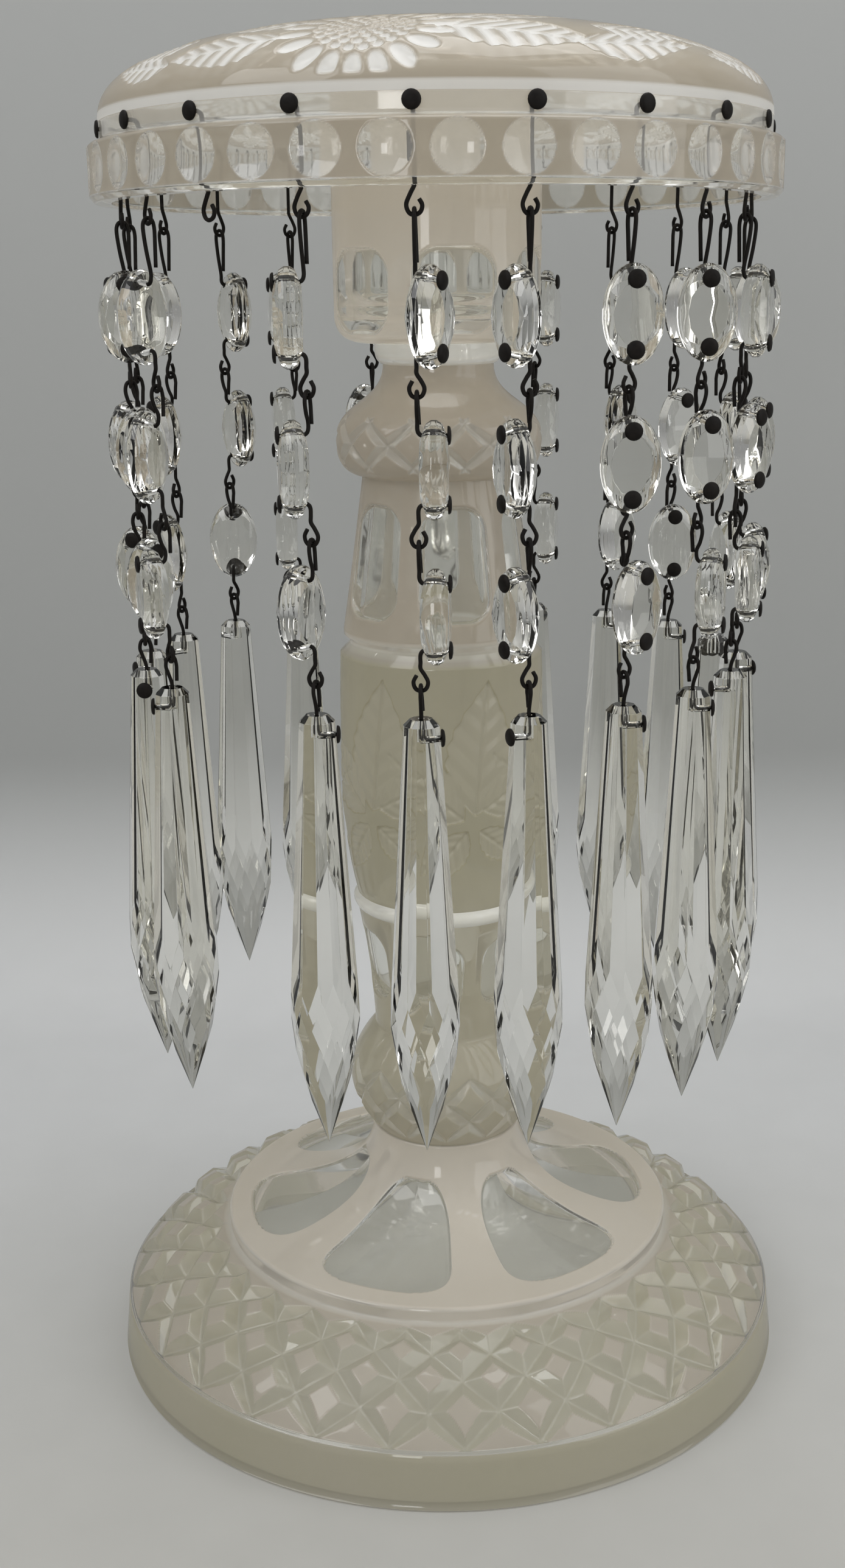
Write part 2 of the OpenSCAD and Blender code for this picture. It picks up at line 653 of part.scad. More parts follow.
// Cut bead, standing at the origin with its flat faces along -Y and +Y, drilled near both ends
module bead() {
    flat = 0.3 * bead_w;
    side = 0.16 * bead_t;
    oval = [for (a = [15 : 30 : 345]) [bead_w / 2 * cos(a), bead_l / 2 * sin(a)] / cos(15)];
    upper_side = [for (s = bead_stations) [s[1] * bead_t / 2, s[0] * bead_l / 2]];
    lower_side = [for (i = [len(bead_stations) - 1 : -1 : 1]) [upper_side[i][0], -upper_side[i][1]]];
    right_side = concat(lower_side, upper_side);
    left_side = [for (i = [len(right_side) - 1 : -1 : 0]) [-right_side[i][0], right_side[i][1]]];
    plan = [[flat, -bead_t / 2], [bead_w / 2, -side], [bead_w / 2, side], [flat, bead_t / 2],
            [-flat, bead_t / 2], [-bead_w / 2, side], [-bead_w / 2, -side], [-flat, -bead_t / 2]];
    difference() {
        intersection() {
            rotate([90, 0, 0]) linear_extrude(height = 2 * bead_t, center = true) polygon(oval);
            rotate([90, 0, 90])
                linear_extrude(height = 2 * bead_w, center = true)
                    polygon(concat(right_side, left_side));
            linear_extrude(height = bead_l, center = true) polygon(plan);
        }
        for (end = [-1, 1])
            translate([0, 0, end * hole_span / 2])
                rotate([90, 0, 0])
                    cylinder(d = wire_hole_d, h = 2 * bead_t, center = true, $fn = wire_fn);
    }
}

// Strand of beads on linked pins, swinging on a rim pin's eye
module bead_strand(k) {
    at_pendant(k)
        translate([0, -chain_r, z_swing]) {
            color("black") standing_eye();
            for (j = [0 : bead_n - 1]) {
                upper_hole = -top_link - j * bead_pitch;
                lower_hole = upper_hole - hole_span;
                upper_leg = j == 0 ? top_link - eye_foot : bead_link - hang_link - eye_foot;
                rotate([0, 0, bead_turns[k][j]]) {
                    color("aliceblue")
                        translate([0, -bead_out, middle(upper_hole, lower_hole)])
                            bead();
                    color("black") {
                        translate([0, 0, upper_hole + upper_leg]) pin_leg(upper_leg, bead_reach);
                        translate([0, 0, lower_hole + eye_top - hang_link])
                            mirror([0, 0, 1])
                                pin_leg(hang_link - eye_top, bead_reach);
                    }
                }
                color("black")
                    translate([0, 0, lower_hole - hang_link]) {
                        hanging_eye();
                        if (j < bead_n - 1) standing_eye();
                    }
            }
        }
}

// Rings of a prism's corners, each as a radius, a depth below the top and a half turn or none.
// Each lower ring is where the planes of the facets over it meet.
half_turn = 180 / prism_sides;
shrink = cos(half_turn);
prism_bevel = 1.5;
prism_top_r = prism_top_d / 2;
prism_wide_r = prism_d / 2;
prism_flare = (prism_wide_r - prism_top_r) / (prism_wide_at - prism_bevel);
row1_z = prism_wide_at + prism_row_h;
row2_z = row1_z + prism_row_h;
row3_z = row2_z + prism_row_h;
row1_r = shrink * (prism_wide_r + prism_flare * prism_row_h);
row2_r = 2 * shrink * row1_r - prism_wide_r;
row3_r = 2 * shrink * row2_r - row1_r;
row3_slope = (row2_r - row3_r * shrink) / prism_row_h;
tip_slope = row3_r / (prism_l - row3_z);
row4_drop = row3_r * (1 - shrink ^ 2) / (tip_slope - shrink * row3_slope);
row4_r = row3_r * shrink - row3_slope * row4_drop;
prism_rings = [
    [prism_top_r - prism_bevel, 0, 1], [prism_top_r, prism_bevel, 1], [prism_wide_r, prism_wide_at, 1],
    [row1_r, row1_z, 0], [row2_r, row2_z, 1], [row3_r, row3_z, 0], [row4_r, row3_z + row4_drop, 1]
];
prism_face_r = shrink * (prism_top_r + prism_flare * (prism_hole_inset + head_d / 2 - prism_bevel));
prism_reach = prism_face_r + head_gap;

// Ten-sided spear prism, hanging from the origin, with the drilling for its pin
module prism_glass() {
    n = prism_sides;
    last = len(prism_rings) - 1;
    points = concat(
        [for (ring = prism_rings) for (i = [0 : n - 1]) let (a = 360 / n * i + ring[2] * half_turn - 90)
            [ring[0] * cos(a), ring[0] * sin(a), -ring[1]]],
        [[0, 0, -prism_l]]
    );
    function at(ring, i) = ring * n + (i + n) % n;
    function kite(j, i, bottom) = let (shift = prism_rings[j][2])
        [at(j, i), at(j + 1, i + shift), bottom, at(j + 1, i + shift - 1)];
    walls = [for (j = [0 : 1]) for (i = [0 : n - 1])
        [at(j, i), at(j, i + 1), at(j + 1, i + 1), at(j + 1, i)]];
    points_down = [for (i = [0 : n - 1]) [at(2, i - 1), at(2, i), at(3, i)]];
    lozenges = [for (j = [2 : last - 2]) for (i = [0 : n - 1]) kite(j, i, at(j + 2, i))];
    tips = [for (i = [0 : n - 1]) kite(last - 1, i, len(points) - 1)];
    difference() {
        polyhedron(points, concat([[for (i = [n - 1 : -1 : 0]) i]], walls, points_down, lozenges, tips));
        translate([0, 0, -prism_hole_inset - wire_hole_d / 2])
            cylinder(d = wire_hole_d, h = prism_hole_inset + wire_hole_d, $fn = wire_fn);
        translate([0, 0, -prism_hole_inset])
            rotate([90, 0, 0])
                cylinder(d = wire_hole_d, h = prism_d, $fn = wire_fn);
    }
}

// Spear prism on its own pin, swinging on the strand's lowest eye
module prism(k) {
    at_pendant(k)
        translate([0, -chain_r, z_swing - prism_swing_drop]) {
            color("black") standing_eye();
            rotate([0, 0, prism_turns[k]]) {
                color("aliceblue") translate([0, 0, -prism_link]) prism_glass();
                color("black")
                    translate([0, 0, -eye_foot])
                        pin_leg(prism_link + prism_hole_inset - eye_foot, prism_reach);
            }
        }
}

foot();
lower_wafer();
column();
upper_wafer();
candle_cup();
canopy();
rim_pins();
for (k = hung) {
    bead_strand(k);
    prism(k);
}
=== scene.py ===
"""Looks of the mantel lustre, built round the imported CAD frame.

The stand's glass is turned on fine grids from the part's outlines. Every wheel cut is sunk into its grid
and marked, so one material is milky casing where the casing is whole and clear glass where it is cut away.
One bead and one prism are cut and copied to every pendant, and each pendant's wires are bent to suit them.
Sizes are in millimetres up to the mesh.
"""

import math

import bmesh
import bpy
import numpy as np
from mathutils import Matrix, Vector

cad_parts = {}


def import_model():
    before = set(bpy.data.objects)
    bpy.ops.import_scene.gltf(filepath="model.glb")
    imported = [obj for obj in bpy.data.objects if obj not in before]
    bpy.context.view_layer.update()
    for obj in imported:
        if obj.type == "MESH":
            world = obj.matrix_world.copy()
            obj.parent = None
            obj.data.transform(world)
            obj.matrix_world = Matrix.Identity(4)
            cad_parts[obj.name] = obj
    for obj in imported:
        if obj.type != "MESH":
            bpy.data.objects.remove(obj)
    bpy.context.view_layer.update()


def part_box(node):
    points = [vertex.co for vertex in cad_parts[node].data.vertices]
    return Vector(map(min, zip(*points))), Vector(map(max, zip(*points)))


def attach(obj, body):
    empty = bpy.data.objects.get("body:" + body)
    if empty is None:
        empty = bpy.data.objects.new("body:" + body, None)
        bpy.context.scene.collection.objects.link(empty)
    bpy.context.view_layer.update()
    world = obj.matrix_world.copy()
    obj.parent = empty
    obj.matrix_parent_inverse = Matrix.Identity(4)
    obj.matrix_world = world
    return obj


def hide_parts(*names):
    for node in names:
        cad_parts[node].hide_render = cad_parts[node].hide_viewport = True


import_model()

MM = 0.001
TAU = 2 * math.pi


def node_box(node):
    low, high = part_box(node)
    return np.array(low) / MM, np.array(high) / MM


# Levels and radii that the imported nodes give
FOOT_R = node_box("foot")[1][1]
Z_LOWER_WAFER, Z_BALUSTER = node_box("lower_wafer")[0][2], node_box("lower_wafer")[1][2]
Z_UPPER_WAFER, Z_CUP = node_box("upper_wafer")[0][2], node_box("upper_wafer")[1][2]
CUP_R, Z_SEAT = node_box("candle_cup")[1][0], node_box("candle_cup")[1][2]
CANOPY_R, Z_RIM = node_box("canopy")[1][0], node_box("canopy")[0][2]

# Turned outline of the foot
RIM_H, RIM_LEAN, RIM_LINE = 15.0, 1.4, 0.8
Z_SHOULDER, SHOULDER_SWELL = 31.5, 3.2
DISC_R, LEDGE, Z_DISC, EDGE = 59.5, 2.0, 35.5, 0.6
NECK_R, Z_NECK, FOOT_WALL = 19.5, 58.5, 6.0
KNOP_R, Z_WAIST, WAIST_R, STEM_TOP_R = 25.5, 87.5, 18.5, 22.5
Z_LOWER_KNOP_MID = (Z_NECK + Z_WAIST) / 2

# Turned outline of the column
STEM_WALL = 5.0
BALUSTER_R, BALUSTER_H = 26.3, 66.0
GROOVE_H, GROOVE_R = 6.0, 23.1
COLUMN_R, COLUMN_TOP_R, COLUMN_H = 24.5, 19.0, 38.0
UPPER_KNOP_R, UPPER_KNOP_H, COLUMN_NECK_R = 25.3, 26.5, 13.5
Z_COLUMN = Z_BALUSTER + BALUSTER_H + GROOVE_H / 2
Z_UPPER_KNOP = Z_COLUMN + COLUMN_H
Z_KNOP_MID = Z_UPPER_KNOP + 0.32 * UPPER_KNOP_H

# Turned outline of the wafers, the cup and the canopy
WAFER_BULGE, UPPER_WAFER_R = 2.2, 15.5
CUP_WALL, CUP_FLOOR = 4.0, 5.0
BAND_H, PIN_GROOVE_H, PIN_GROOVE, BAND_WALL = 12.6, 4.8, 2.8, 5.0
DOME_RISE, DOME_FULL, CROWN_T = 20.5, 2.45, 5.5
Z_BAND_TOP = Z_RIM + BAND_H
Z_DOME = Z_BAND_TOP + PIN_GROOVE_H
DOME_R = CANOPY_R - PIN_GROOVE
BAND_BORE_R = CANOPY_R - BAND_WALL
CUP_BORE_R = CUP_R - CUP_WALL
AXIS_R = 0.3

# Points round the grids of the wide pieces, the stems, the bores and the wafers
WIDE_SIDES, STEM_SIDES, BORE_SIDES, WAFER_SIDES = 1440, 720, 360, 180

# Cutting
FRONT_TURN, STEM_TURN = math.radians(9.7), math.radians(-9)
SHOULDER_CUTS, SHOULDER_CUT_D, SHOULDER_TURN = 30, 2.4, math.radians(2.5)
PETALS, PETAL_FROM, PETAL_TO, PETAL_D, PETAL_HALF = 6, 22.0, 53.5, 1.2, math.radians(22)
WINDOWS, WINDOW_HALF = 6, math.radians(24)
BAND_WINDOWS, BAND_WINDOW_D, BAND_WINDOW_TURN = 36, 10.9, math.radians(3)
BAND_BEVEL, BAND_HOLLOW = 1.2, 1.25

# Mitre cuts of a knop: height of a kite, depth, steepness, and where their fading is centred and ends
KNOP_CUTS = 12
LOWER_KNOP_CUT = (13.0, 1.5, 0.7, -3, 9.5)
UPPER_KNOP_CUT = (11.0, 1.3, 0.75, 0, 6.5)

# Flat windows of a stem: radius and level at their foot and at their top, and their corners' radius
STEM_WINDOW = ((WAIST_R, Z_WAIST + 9), (STEM_TOP_R - 1, Z_WAIST + 28), 5.7)
COLUMN_WINDOW = ((23.4, Z_COLUMN + 4.2), (19.8, Z_COLUMN + 32.2), 6.2)
CUP_WINDOW = ((CUP_R, Z_CUP + 2), (CUP_R, Z_CUP + 22), 6.4)

# Engraved sprays: turns in degrees, and each leaf's place across and up, lean in degrees, length and width
# Rise of the bloom, and height of the stripe at the dome's foot, which is painted matt white as a highlight
DOME_SPRAYS, BLOOM_UP, HIGHLIGHT_STRIPE_H = (-12, 108, 228), 19, 2.2
DOME_LEAVES = (
    (13, 21, -14, 36, 15), (12, 29, 14, 34, 13), (44, 12, 4, 32, 12), (46, 24, -8, 30, 14),
    (-17, 16, 192, 30, 13), (-13, 26, 168, 34, 14), (-42, 20, 186, 30, 14), (-46, 9, 176, 28, 9),
)
BALUSTER_SPRAYS = (16, 76, 136, 196, 256, 316)
BALUSTER_LEAVES = (
    (1, 26, 84, 34, 17), (3, 27, 28, 20, 12), (-2, 25, 140, 26, 14),
    (-1, 22, -128, 18, 9), (2, 22, -38, 15, 8),
)

# Cut marks of the casing: wholly cut away, and worn to a haze
CLEAR, HAZE = 1.0, 0.2

# Tint-and-shade marks of the casing, from 0 for milk white over 1 for rose to 2 for olive: partly the glass's
# own tint, partly painted shade that darkens the stems, the knops, the baluster, the rim band and the
# shoulder's grooves
CUP_TONE, DISC_TONE, DISC_EDGE_TONE, COLUMN_TONE, CANOPY_TONE = 0.25, 0.3, 0.4, 0.85, 1.1
SHOULDER_TONE, SHOULDER_CUT_TONE, STEM_TONE, OLIVE_TONE = 0.9, 2.0, 1.7, 1.9

# Pendants
PENDANTS, BARE, FIRST_TURN = 20, 18, math.radians(-3.4)
CHAIN_R, EYE_DROP = BAND_BORE_R - 1.8, 5.5
WIRE_R, EYE_R, HEAD_R, HEAD_H, BEND_R = 0.46, 1.6, 1.95, 0.8, 1.2
LINK_RISE = 2 * WIRE_R + 0.3
TOP_LINK, BEAD_LINK, PRISM_LINK = 12.6, 16.4, 6.0
BEAD_L, BEAD_W, BEAD_T, BEAD_INSET = 20.5, 13.0, 6.0, 3.2
BEAD_TABLE, TABLE_FALL = (0.74, 0.62), 0.03
BEAD_GIRDLE, BEAD_CROWN = (1.0, 0.2), (0.93, 0.56)
PRISM_L, PRISM_TOP_R, PRISM_R, PRISM_WIDE, PRISM_INSET = 101.6, 4.0, 7.8, 64.0, 4.5
PRISM_SIDES, PRISM_ROW, PRISM_BEVEL = 10, 6.8, 1.5
HOLE_R = WIRE_R + 0.3
HOLE_SPAN = BEAD_L - 2 * BEAD_INSET
BEAD_PITCH = HOLE_SPAN + BEAD_LINK
EYE_TOP, EYE_FOOT = 3 * EYE_R, 3 * EYE_R - LINK_RISE
HANG_LINK = (BEAD_LINK + EYE_TOP - EYE_FOOT) / 2
HEAD_GAP = 0.1
Z_SWING = Z_RIM - EYE_DROP
Z_PIN = Z_BAND_TOP + 3.0
PRISM_DROP = TOP_LINK + 2 * BEAD_PITCH + HOLE_SPAN + HANG_LINK

# Turns of the beads and the prism of each pendant about their wires, from facing outwards, in degrees
BEAD_TURNS = [
    (61, 91, 88), (-70, -83, -73), (-27, -28, 8), (-45, -33, 24), (1, -24, 11),
    (-57, -27, 13), (-25, -45, 5), (-83, -93, -118), (-66, -81, -96), (-84, -79, -79),
    (20, -40, 65), (-50, 30, -70), (67, 67, 60), (-111, -111, -51), (80, 61, 61),
    (40, -30, 70), (85, 115, 125), (-73, -53, -13), (0, 0, 0), (-66, -59, -104),
]
PRISM_TURNS = [100, -80, 60, 34, -154, 20, 70, -43, -60, 45, -20, 80, -50, -10, 65, 30, 75, -28, 0, 110]


# Materials


class Tree:
    """A material's nodes, made and joined by short calls."""

    def __init__(self, name):
        self.material = bpy.data.materials.new(name)
        self.material.use_nodes = True
        self.tree = self.material.node_tree
        self.tree.nodes.clear()

    def add(self, kind, settings=None, **inputs):
        made = self.tree.nodes.new(kind)
        for key, value in (settings or {}).items():
            setattr(made, key, value)
        for key, value in inputs.items():
            self.put(made.inputs[key.replace("_", " ")], value)
        return made

    def put(self, socket, value):
        if isinstance(value, bpy.types.NodeSocket):
            self.tree.links.new(value, socket)
        else:
            socket.default_value = value

    def mark(self, name):
        return self.add("ShaderNodeAttribute", {"attribute_name": name}).outputs["Fac"]

    def place(self):
        return self.add("ShaderNodeTexCoord").outputs["Object"]

    def span(self, value, low, high, source=(0.0, 1.0)):
        made = self.add("ShaderNodeMapRange", From_Min=source[0], From_Max=source[1], To_Min=low, To_Max=high)
        self.put(made.inputs["Value"], value)
        return made.outputs["Result"]

    def colours(self, factor, a, b):
        made = self.add("ShaderNodeMix", {"data_type": "RGBA"})
        self.put(made.inputs[0], factor)
        self.put(made.inputs[6], a)
        self.put(made.inputs[7], b)
        return made.outputs[2]

    def times(self, a, b):
        made = self.add("ShaderNodeMath", {"operation": "MULTIPLY"})
        self.put(made.inputs[0], a)
        self.put(made.inputs[1], b)
        return made.outputs[0]

    def noise(self, scale, detail=3.0):
        return self.add("ShaderNodeTexNoise", Vector=self.place(), Scale=scale, Detail=detail).outputs["Fac"]

    def bump(self, height, distance, strength):
        made = self.add("ShaderNodeBump", Height=height, Distance=distance, Strength=strength)
        return made.outputs["Normal"]

    def mixed(self, factor, a, b):
        made = self.add("ShaderNodeMixShader", Fac=factor)
        self.put(made.inputs[1], a)
        self.put(made.inputs[2], b)
        return made.outputs[0]

    def lit_through(self, share, tint, shader):
        """The shader, with that share of a lamp's light let through it."""
        shadow = self.add("ShaderNodeLightPath").outputs["Is Shadow Ray"]
        air = self.add("ShaderNodeBsdfTransparent", Color=tint).outputs[0]
        return self.mixed(self.times(shadow, share), shader, air)

    def end(self, shader):
        out = self.add("ShaderNodeOutputMaterial")
        self.tree.links.new(shader, out.inputs["Surface"])
        return self.material


def cased_glass():
    """Milky casing over clear glass. A mesh's cut mark is 1 where the casing is gone and -1 where it is
    engraved matt white; the stripe at the dome's foot is marked nearly so too, as a painted highlight. Its
    tint-and-shade mark is 0 where the casing is milk white, 1 where it is rose and 2 where it is olive:
    partly the glass's own tint, partly painted shade."""
    rose, olive, white = (0.54, 0.48, 0.395, 1), (0.48, 0.44, 0.295, 1), (0.96, 0.955, 0.93, 1)
    t = Tree("cased_glass")
    mark = t.mark("cut")
    cut = t.span(mark, 0.0, 1.0)
    matt = t.span(mark, 1.0, 0.0, (-1.0, 0.0))
    thin = t.times(t.mark("thin"), t.span(t.noise(24), 0.75, 1.2))
    milk = t.colours(t.noise(38), (0.82, 0.755, 0.655, 1), (0.92, 0.865, 0.785, 1))
    milk = t.colours(t.span(thin, 0.0, 1.0), milk, rose)
    milk = t.colours(t.span(thin, 0.0, 1.0, (1.0, 2.0)), milk, olive)
    milk = t.colours(matt, milk, white)
    clear = t.colours(t.noise(420, 2), (0.94, 0.95, 0.91, 1), (0.985, 0.985, 0.96, 1))
    body = t.add(
        "ShaderNodeBsdfPrincipled",
        Base_Color=t.colours(cut, milk, clear),
        Roughness=t.span(matt, 0.05, 0.42),
        Transmission_Weight=t.span(cut, 0.3, 1.0),
        IOR=1.5,
        Normal=t.bump(t.noise(90, 2), 0.0002, 0.2),
    ).outputs[0]
    through = t.add("ShaderNodeBsdfTranslucent", Color=milk).outputs[0]
    body = t.mixed(t.span(cut, 0.34, 0.0), body, through)
    return t.end(t.lit_through(t.span(cut, 0.3, 1.0), (0.93, 0.93, 0.91, 1), body))


def clear_glass(name, tints, roughness, clarity):
    """Clear glass with a faint uneven tint."""
    t = Tree(name)
    grain = t.noise(160, 2)
    body = t.add(
        "ShaderNodeBsdfPrincipled",
        Base_Color=t.colours(grain, *tints),
        Roughness=t.span(grain, *roughness),
        Transmission_Weight=clarity,
        IOR=1.52,
    ).outputs[0]
    return t.end(t.lit_through(0.9, (0.93, 0.94, 0.92, 1), body))


def pin_wire():
    """Black oxidised steel with a duller, browner bloom in places."""
    t = Tree("pin_wire")
    bloom = t.noise(900)
    body = t.add(
        "ShaderNodeBsdfPrincipled",
        Base_Color=t.colours(bloom, (0.003, 0.003, 0.003, 1), (0.014, 0.011, 0.009, 1)),
        Specular_IOR_Level=0.12,
        Roughness=t.span(bloom, 0.4, 0.65),
        Normal=t.bump(bloom, 0.0001, 0.4),
    ).outputs[0]
    return t.end(body)


def backdrop():
    """Pale floor, warmer and darker in front as painted shade, that turns up into a greyer wall painted
    lighter towards its top as painted light.
    """
    t = Tree("backdrop")
    parts = t.add("ShaderNodeSeparateXYZ", Vector=t.place()).outputs
    wall = t.span(parts["Z"], 0.0, 1.0, (0.0, 0.09))
    back = t.span(parts["Y"], 0.0, 1.0, (-0.2, 0.12))
    high = t.span(parts["Z"], 0.0, 1.0, (0.1, 0.5))
    speck = t.noise(60)
    # Painted shade: the floor darkens towards the front
    shaded_near_floor = t.colours(speck, (0.36, 0.35, 0.315, 1), (0.385, 0.375, 0.34, 1))
    far_floor = t.colours(speck, (0.49, 0.495, 0.495, 1), (0.52, 0.525, 0.525, 1))
    pale = t.colours(back, shaded_near_floor, far_floor)
    # Painted light: the wall lightens towards its top
    grey = t.colours(high, (0.315, 0.32, 0.312, 1), (0.385, 0.39, 0.382, 1))
    body = t.add(
        "ShaderNodeBsdfPrincipled",
        Base_Color=t.colours(wall, pale, grey),
        Roughness=t.span(speck, 0.55, 0.75),
    ).outputs[0]
    return t.end(body)


CASED = cased_glass()
WAFER = clear_glass("clear_glass", ((0.93, 0.92, 0.87, 1), (0.98, 0.97, 0.93, 1)), (0.02, 0.06), 0.5)
CRYSTAL = clear_glass("crystal", ((0.90, 0.89, 0.84, 1), (0.95, 0.945, 0.91, 1)), (0.0, 0.02), 1.0)
WIRE = pin_wire()
BACKDROP = backdrop()


# Turned glass


def curve(*points, steps=40):
    """Points along a Bezier curve with these control points."""
    t = np.linspace(0, 1, steps + 1)[:, None]
    n = len(points) - 1
    return sum(math.comb(n, i) * t**i * (1 - t) ** (n - i) * np.array(p, float) for i, p in enumerate(points))


def swelling(a, b, swell, steps=60):
    """Points from a to b along a line that swells outwards."""
    t = np.linspace(0, 1, steps + 1)[:, None]
    a, b = np.array(a, float), np.array(b, float)
    return a + t * (b - a) + np.hstack([swell * np.sin(math.pi * t) ** 0.85, 0 * t])


class Zone:
    """A stretch of a turned outline and what is cut into it. Its tint-and-shade mark, the glass's own tint
    with painted shade, is set for the zone and changes to the deep value where it is cut. A loose zone starts
    a new stretch, where glass is fused to the next piece and has no face of its own."""

    def __init__(self, points, step, sides, pattern=None, cut=0.0, thin=0.0, deep=None, loose=False):
        points = np.atleast_2d(np.array(points, float))
        rows = [points[:1]]
        for p, q in zip(points[:-1], points[1:]):
            n = max(1, math.ceil(np.linalg.norm(q - p) / step))
            rows.append(p + (q - p) * (np.arange(1, n + 1) / n)[:, None])
        self.rows, self.sides, self.pattern = np.vstack(rows), sides, pattern
        self.cut, self.thin, self.deep, self.loose = cut, thin, thin if deep is None else deep, loose


def turned(name, zones, material):
    """A turned piece: its zones run up the outside and back down the inside."""
    rows = np.vstack([z.rows for z in zones])
    way = np.gradient(rows, axis=0)
    way /= np.maximum(np.linalg.norm(way, axis=1), 1e-9)[:, None]
    run = np.concatenate([[0], np.cumsum(np.linalg.norm(np.diff(rows, axis=0), axis=1))])
    rings, cuts, thins, at, breaks = [], [], [], 0, set()
    for zone in zones:
        part = slice(at, at + len(zone.rows))
        if zone.loose:
            breaks.add(at)
        at += len(zone.rows)
        a = np.arange(zone.sides)[None, :] / zone.sides * TAU
        r, z = rows[part, :1], rows[part, 1:]
        grid = (len(r), zone.sides)
        depth, cut = np.zeros(grid), np.full(grid, zone.cut)
        if zone.pattern:
            found = zone.pattern(a, run[part][:, None] - run[part][0], r, z)
            depth, cut = (np.broadcast_to(values, grid) for values in found)
            cut = np.where(cut < 0, cut, np.maximum(cut, zone.cut))
        rr = r - depth * way[part, 1:]
        zz = z + depth * way[part, :1]
        rings += list(np.stack([rr * np.sin(a), -rr * np.cos(a), zz + 0 * a], axis=2))
        cuts += list(cut)
        # Where the casing is cut away the tint-and-shade mark turns to the zone's deep value: painted shade
        # in the shoulder's grooves, painted light in the canopy band's windows
        thins += list(zone.thin + (zone.deep - zone.thin) * laid_bare(depth))
    mesh = ring_mesh(name, rings, breaks)
    for label, values in (("cut", cuts), ("thin", thins)):
        mark = mesh.attributes.new(label, "FLOAT", "POINT")
        mark.data.foreach_set("value", np.concatenate(values).astype(np.float32))
    return piece(name, mesh, material)


def ring_mesh(name, rings, breaks):
    """Faces between rings of points: four-cornered, or five-cornered where one ring has twice the points."""
    starts = np.concatenate([[0], np.cumsum([len(r) for r in rings])])
    loops, sizes = [], []
    for i in range(len(rings) - 1):
        if i + 1 in breaks:
            continue
        n, m = len(rings[i]), len(rings[i + 1])
        low, high = starts[i], starts[i + 1]
        k = np.arange(min(n, m))
        after = (k + 1) % len(k)
        if n == m:
            face = [low + k, low + after, high + after, high + k]
        elif n == 2 * m:
            face = [low + 2 * k, low + 2 * k + 1, low + 2 * after, high + after, high + k]
        else:
            face = [low + k, low + after, high + 2 * after, high + 2 * k + 1, high + 2 * k]
        loops.append(np.stack(face, axis=1).ravel())
        sizes.append(np.full(len(k), len(face)))
    sizes = np.concatenate(sizes)
    mesh = bpy.data.meshes.new(name)
    mesh.vertices.add(starts[-1])
    mesh.vertices.foreach_set("co", (np.vstack(rings) * MM).astype(np.float32).ravel())
    mesh.loops.add(int(sizes.sum()))
    mesh.loops.foreach_set("vertex_index", np.concatenate(loops).astype(np.int32))
    mesh.polygons.add(len(sizes))
    mesh.polygons.foreach_set("loop_start", np.concatenate([[0], np.cumsum(sizes)[:-1]]).astype(np.int32))
    mesh.update(calc_edges=True)
    mesh.polygons.foreach_set("use_smooth", np.ones(len(sizes), bool))
    return mesh


def piece(name, mesh, material):
    made = bpy.data.objects.new(name, mesh)
    bpy.context.scene.collection.objects.link(made)
    mesh.materials.append(material)
    return made


def near(a, count, turn=0.0):
    """Angle from the nearest of count even places round the axis."""
    step = TAU / count
    return (a - turn + step / 2) % step - step / 2


def ramp(x):
    """Smooth step from 0 to 1 while x runs from 0 to 1."""
    x = np.clip(x, 0, 1)
    return x * x * (3 - 2 * x)


def laid_bare(depth):
    """How far the casing is gone under a cut of that depth."""
    return ramp((depth - 0.02) / 0.18)


# Cuts. A pattern takes the angle, the run along its zone, the radius and the level of each point of a grid,
# and gives the depth and the cut mark there.


def mitres(u, s, width, height, deep, wall):
    """Two crossing sets of V grooves on the lines where u + s and u - s are whole numbers."""
    across = 1 / np.sqrt(1 / width**2 + 1 / height**2)
    depth = 0
    for way in (1, -1):
        off = np.abs((u + way * s + 0.5) % 1 - 0.5) * across
        depth = np.maximum(depth, deep - wall * off)
    return np.maximum(depth, 0)


def shoulder_cuts(a, v, r, z):
    """Flat-topped diamonds between mitre cuts, in rows that grow smaller towards the disc."""
    width = TAU * r / SHOULDER_CUTS
    height = 0.98 * width
    s = np.cumsum(np.gradient(v, axis=0) / height, axis=0) - 0.03
    fade = np.sqrt(np.clip(np.minimum((s + 0.06) / 0.45, (s[-1] - s) / 0.25), 0, 1))
    u = (a - SHOULDER_TURN) * SHOULDER_CUTS / TAU
    depth = mitres(u, s, width, height, SHOULDER_CUT_D * fade, 0.78)
    return depth, 0.36 * laid_bare(depth)


def petal_cuts(a, v, r, z):
    """Rounded hollows, one to a sector of the disc, that leave webs of casing between them."""
    t = np.clip((r - PETAL_FROM) / (PETAL_TO - PETAL_FROM), 0, 1)
    half = r * math.sin(PETAL_HALF) * (1 - np.abs(2 * t - 1) ** 4) ** 0.25
    x = np.abs(r * np.sin(near(a, PETALS, FRONT_TURN + math.pi / PETALS)))
    edge = half - x
    depth = 0.5 * ramp(edge / 0.8) + PETAL_D * np.clip(edge / np.maximum(half, 1), 0, 1) ** 0.8
    depth = np.where(half > 0.5, depth, 0)
    return depth, 0.9 * laid_bare(depth)


def knop_cuts(radius, middle, height, deep, wall, lift, reach):
    """A band of crossing mitre cuts round a knop, which fade out at a reach from a level near its middle."""
    width = TAU * radius / KNOP_CUTS

    def pattern(a, v, r, z):
        fade = np.sqrt(np.clip(1 - ((z - middle - lift) / reach) ** 2, 0, 1))
        depth = mitres(a * KNOP_CUTS / TAU, (z - middle) / height, width, height, deep * fade, wall)
        return depth, 0.45 * laid_bare(depth)

    return pattern


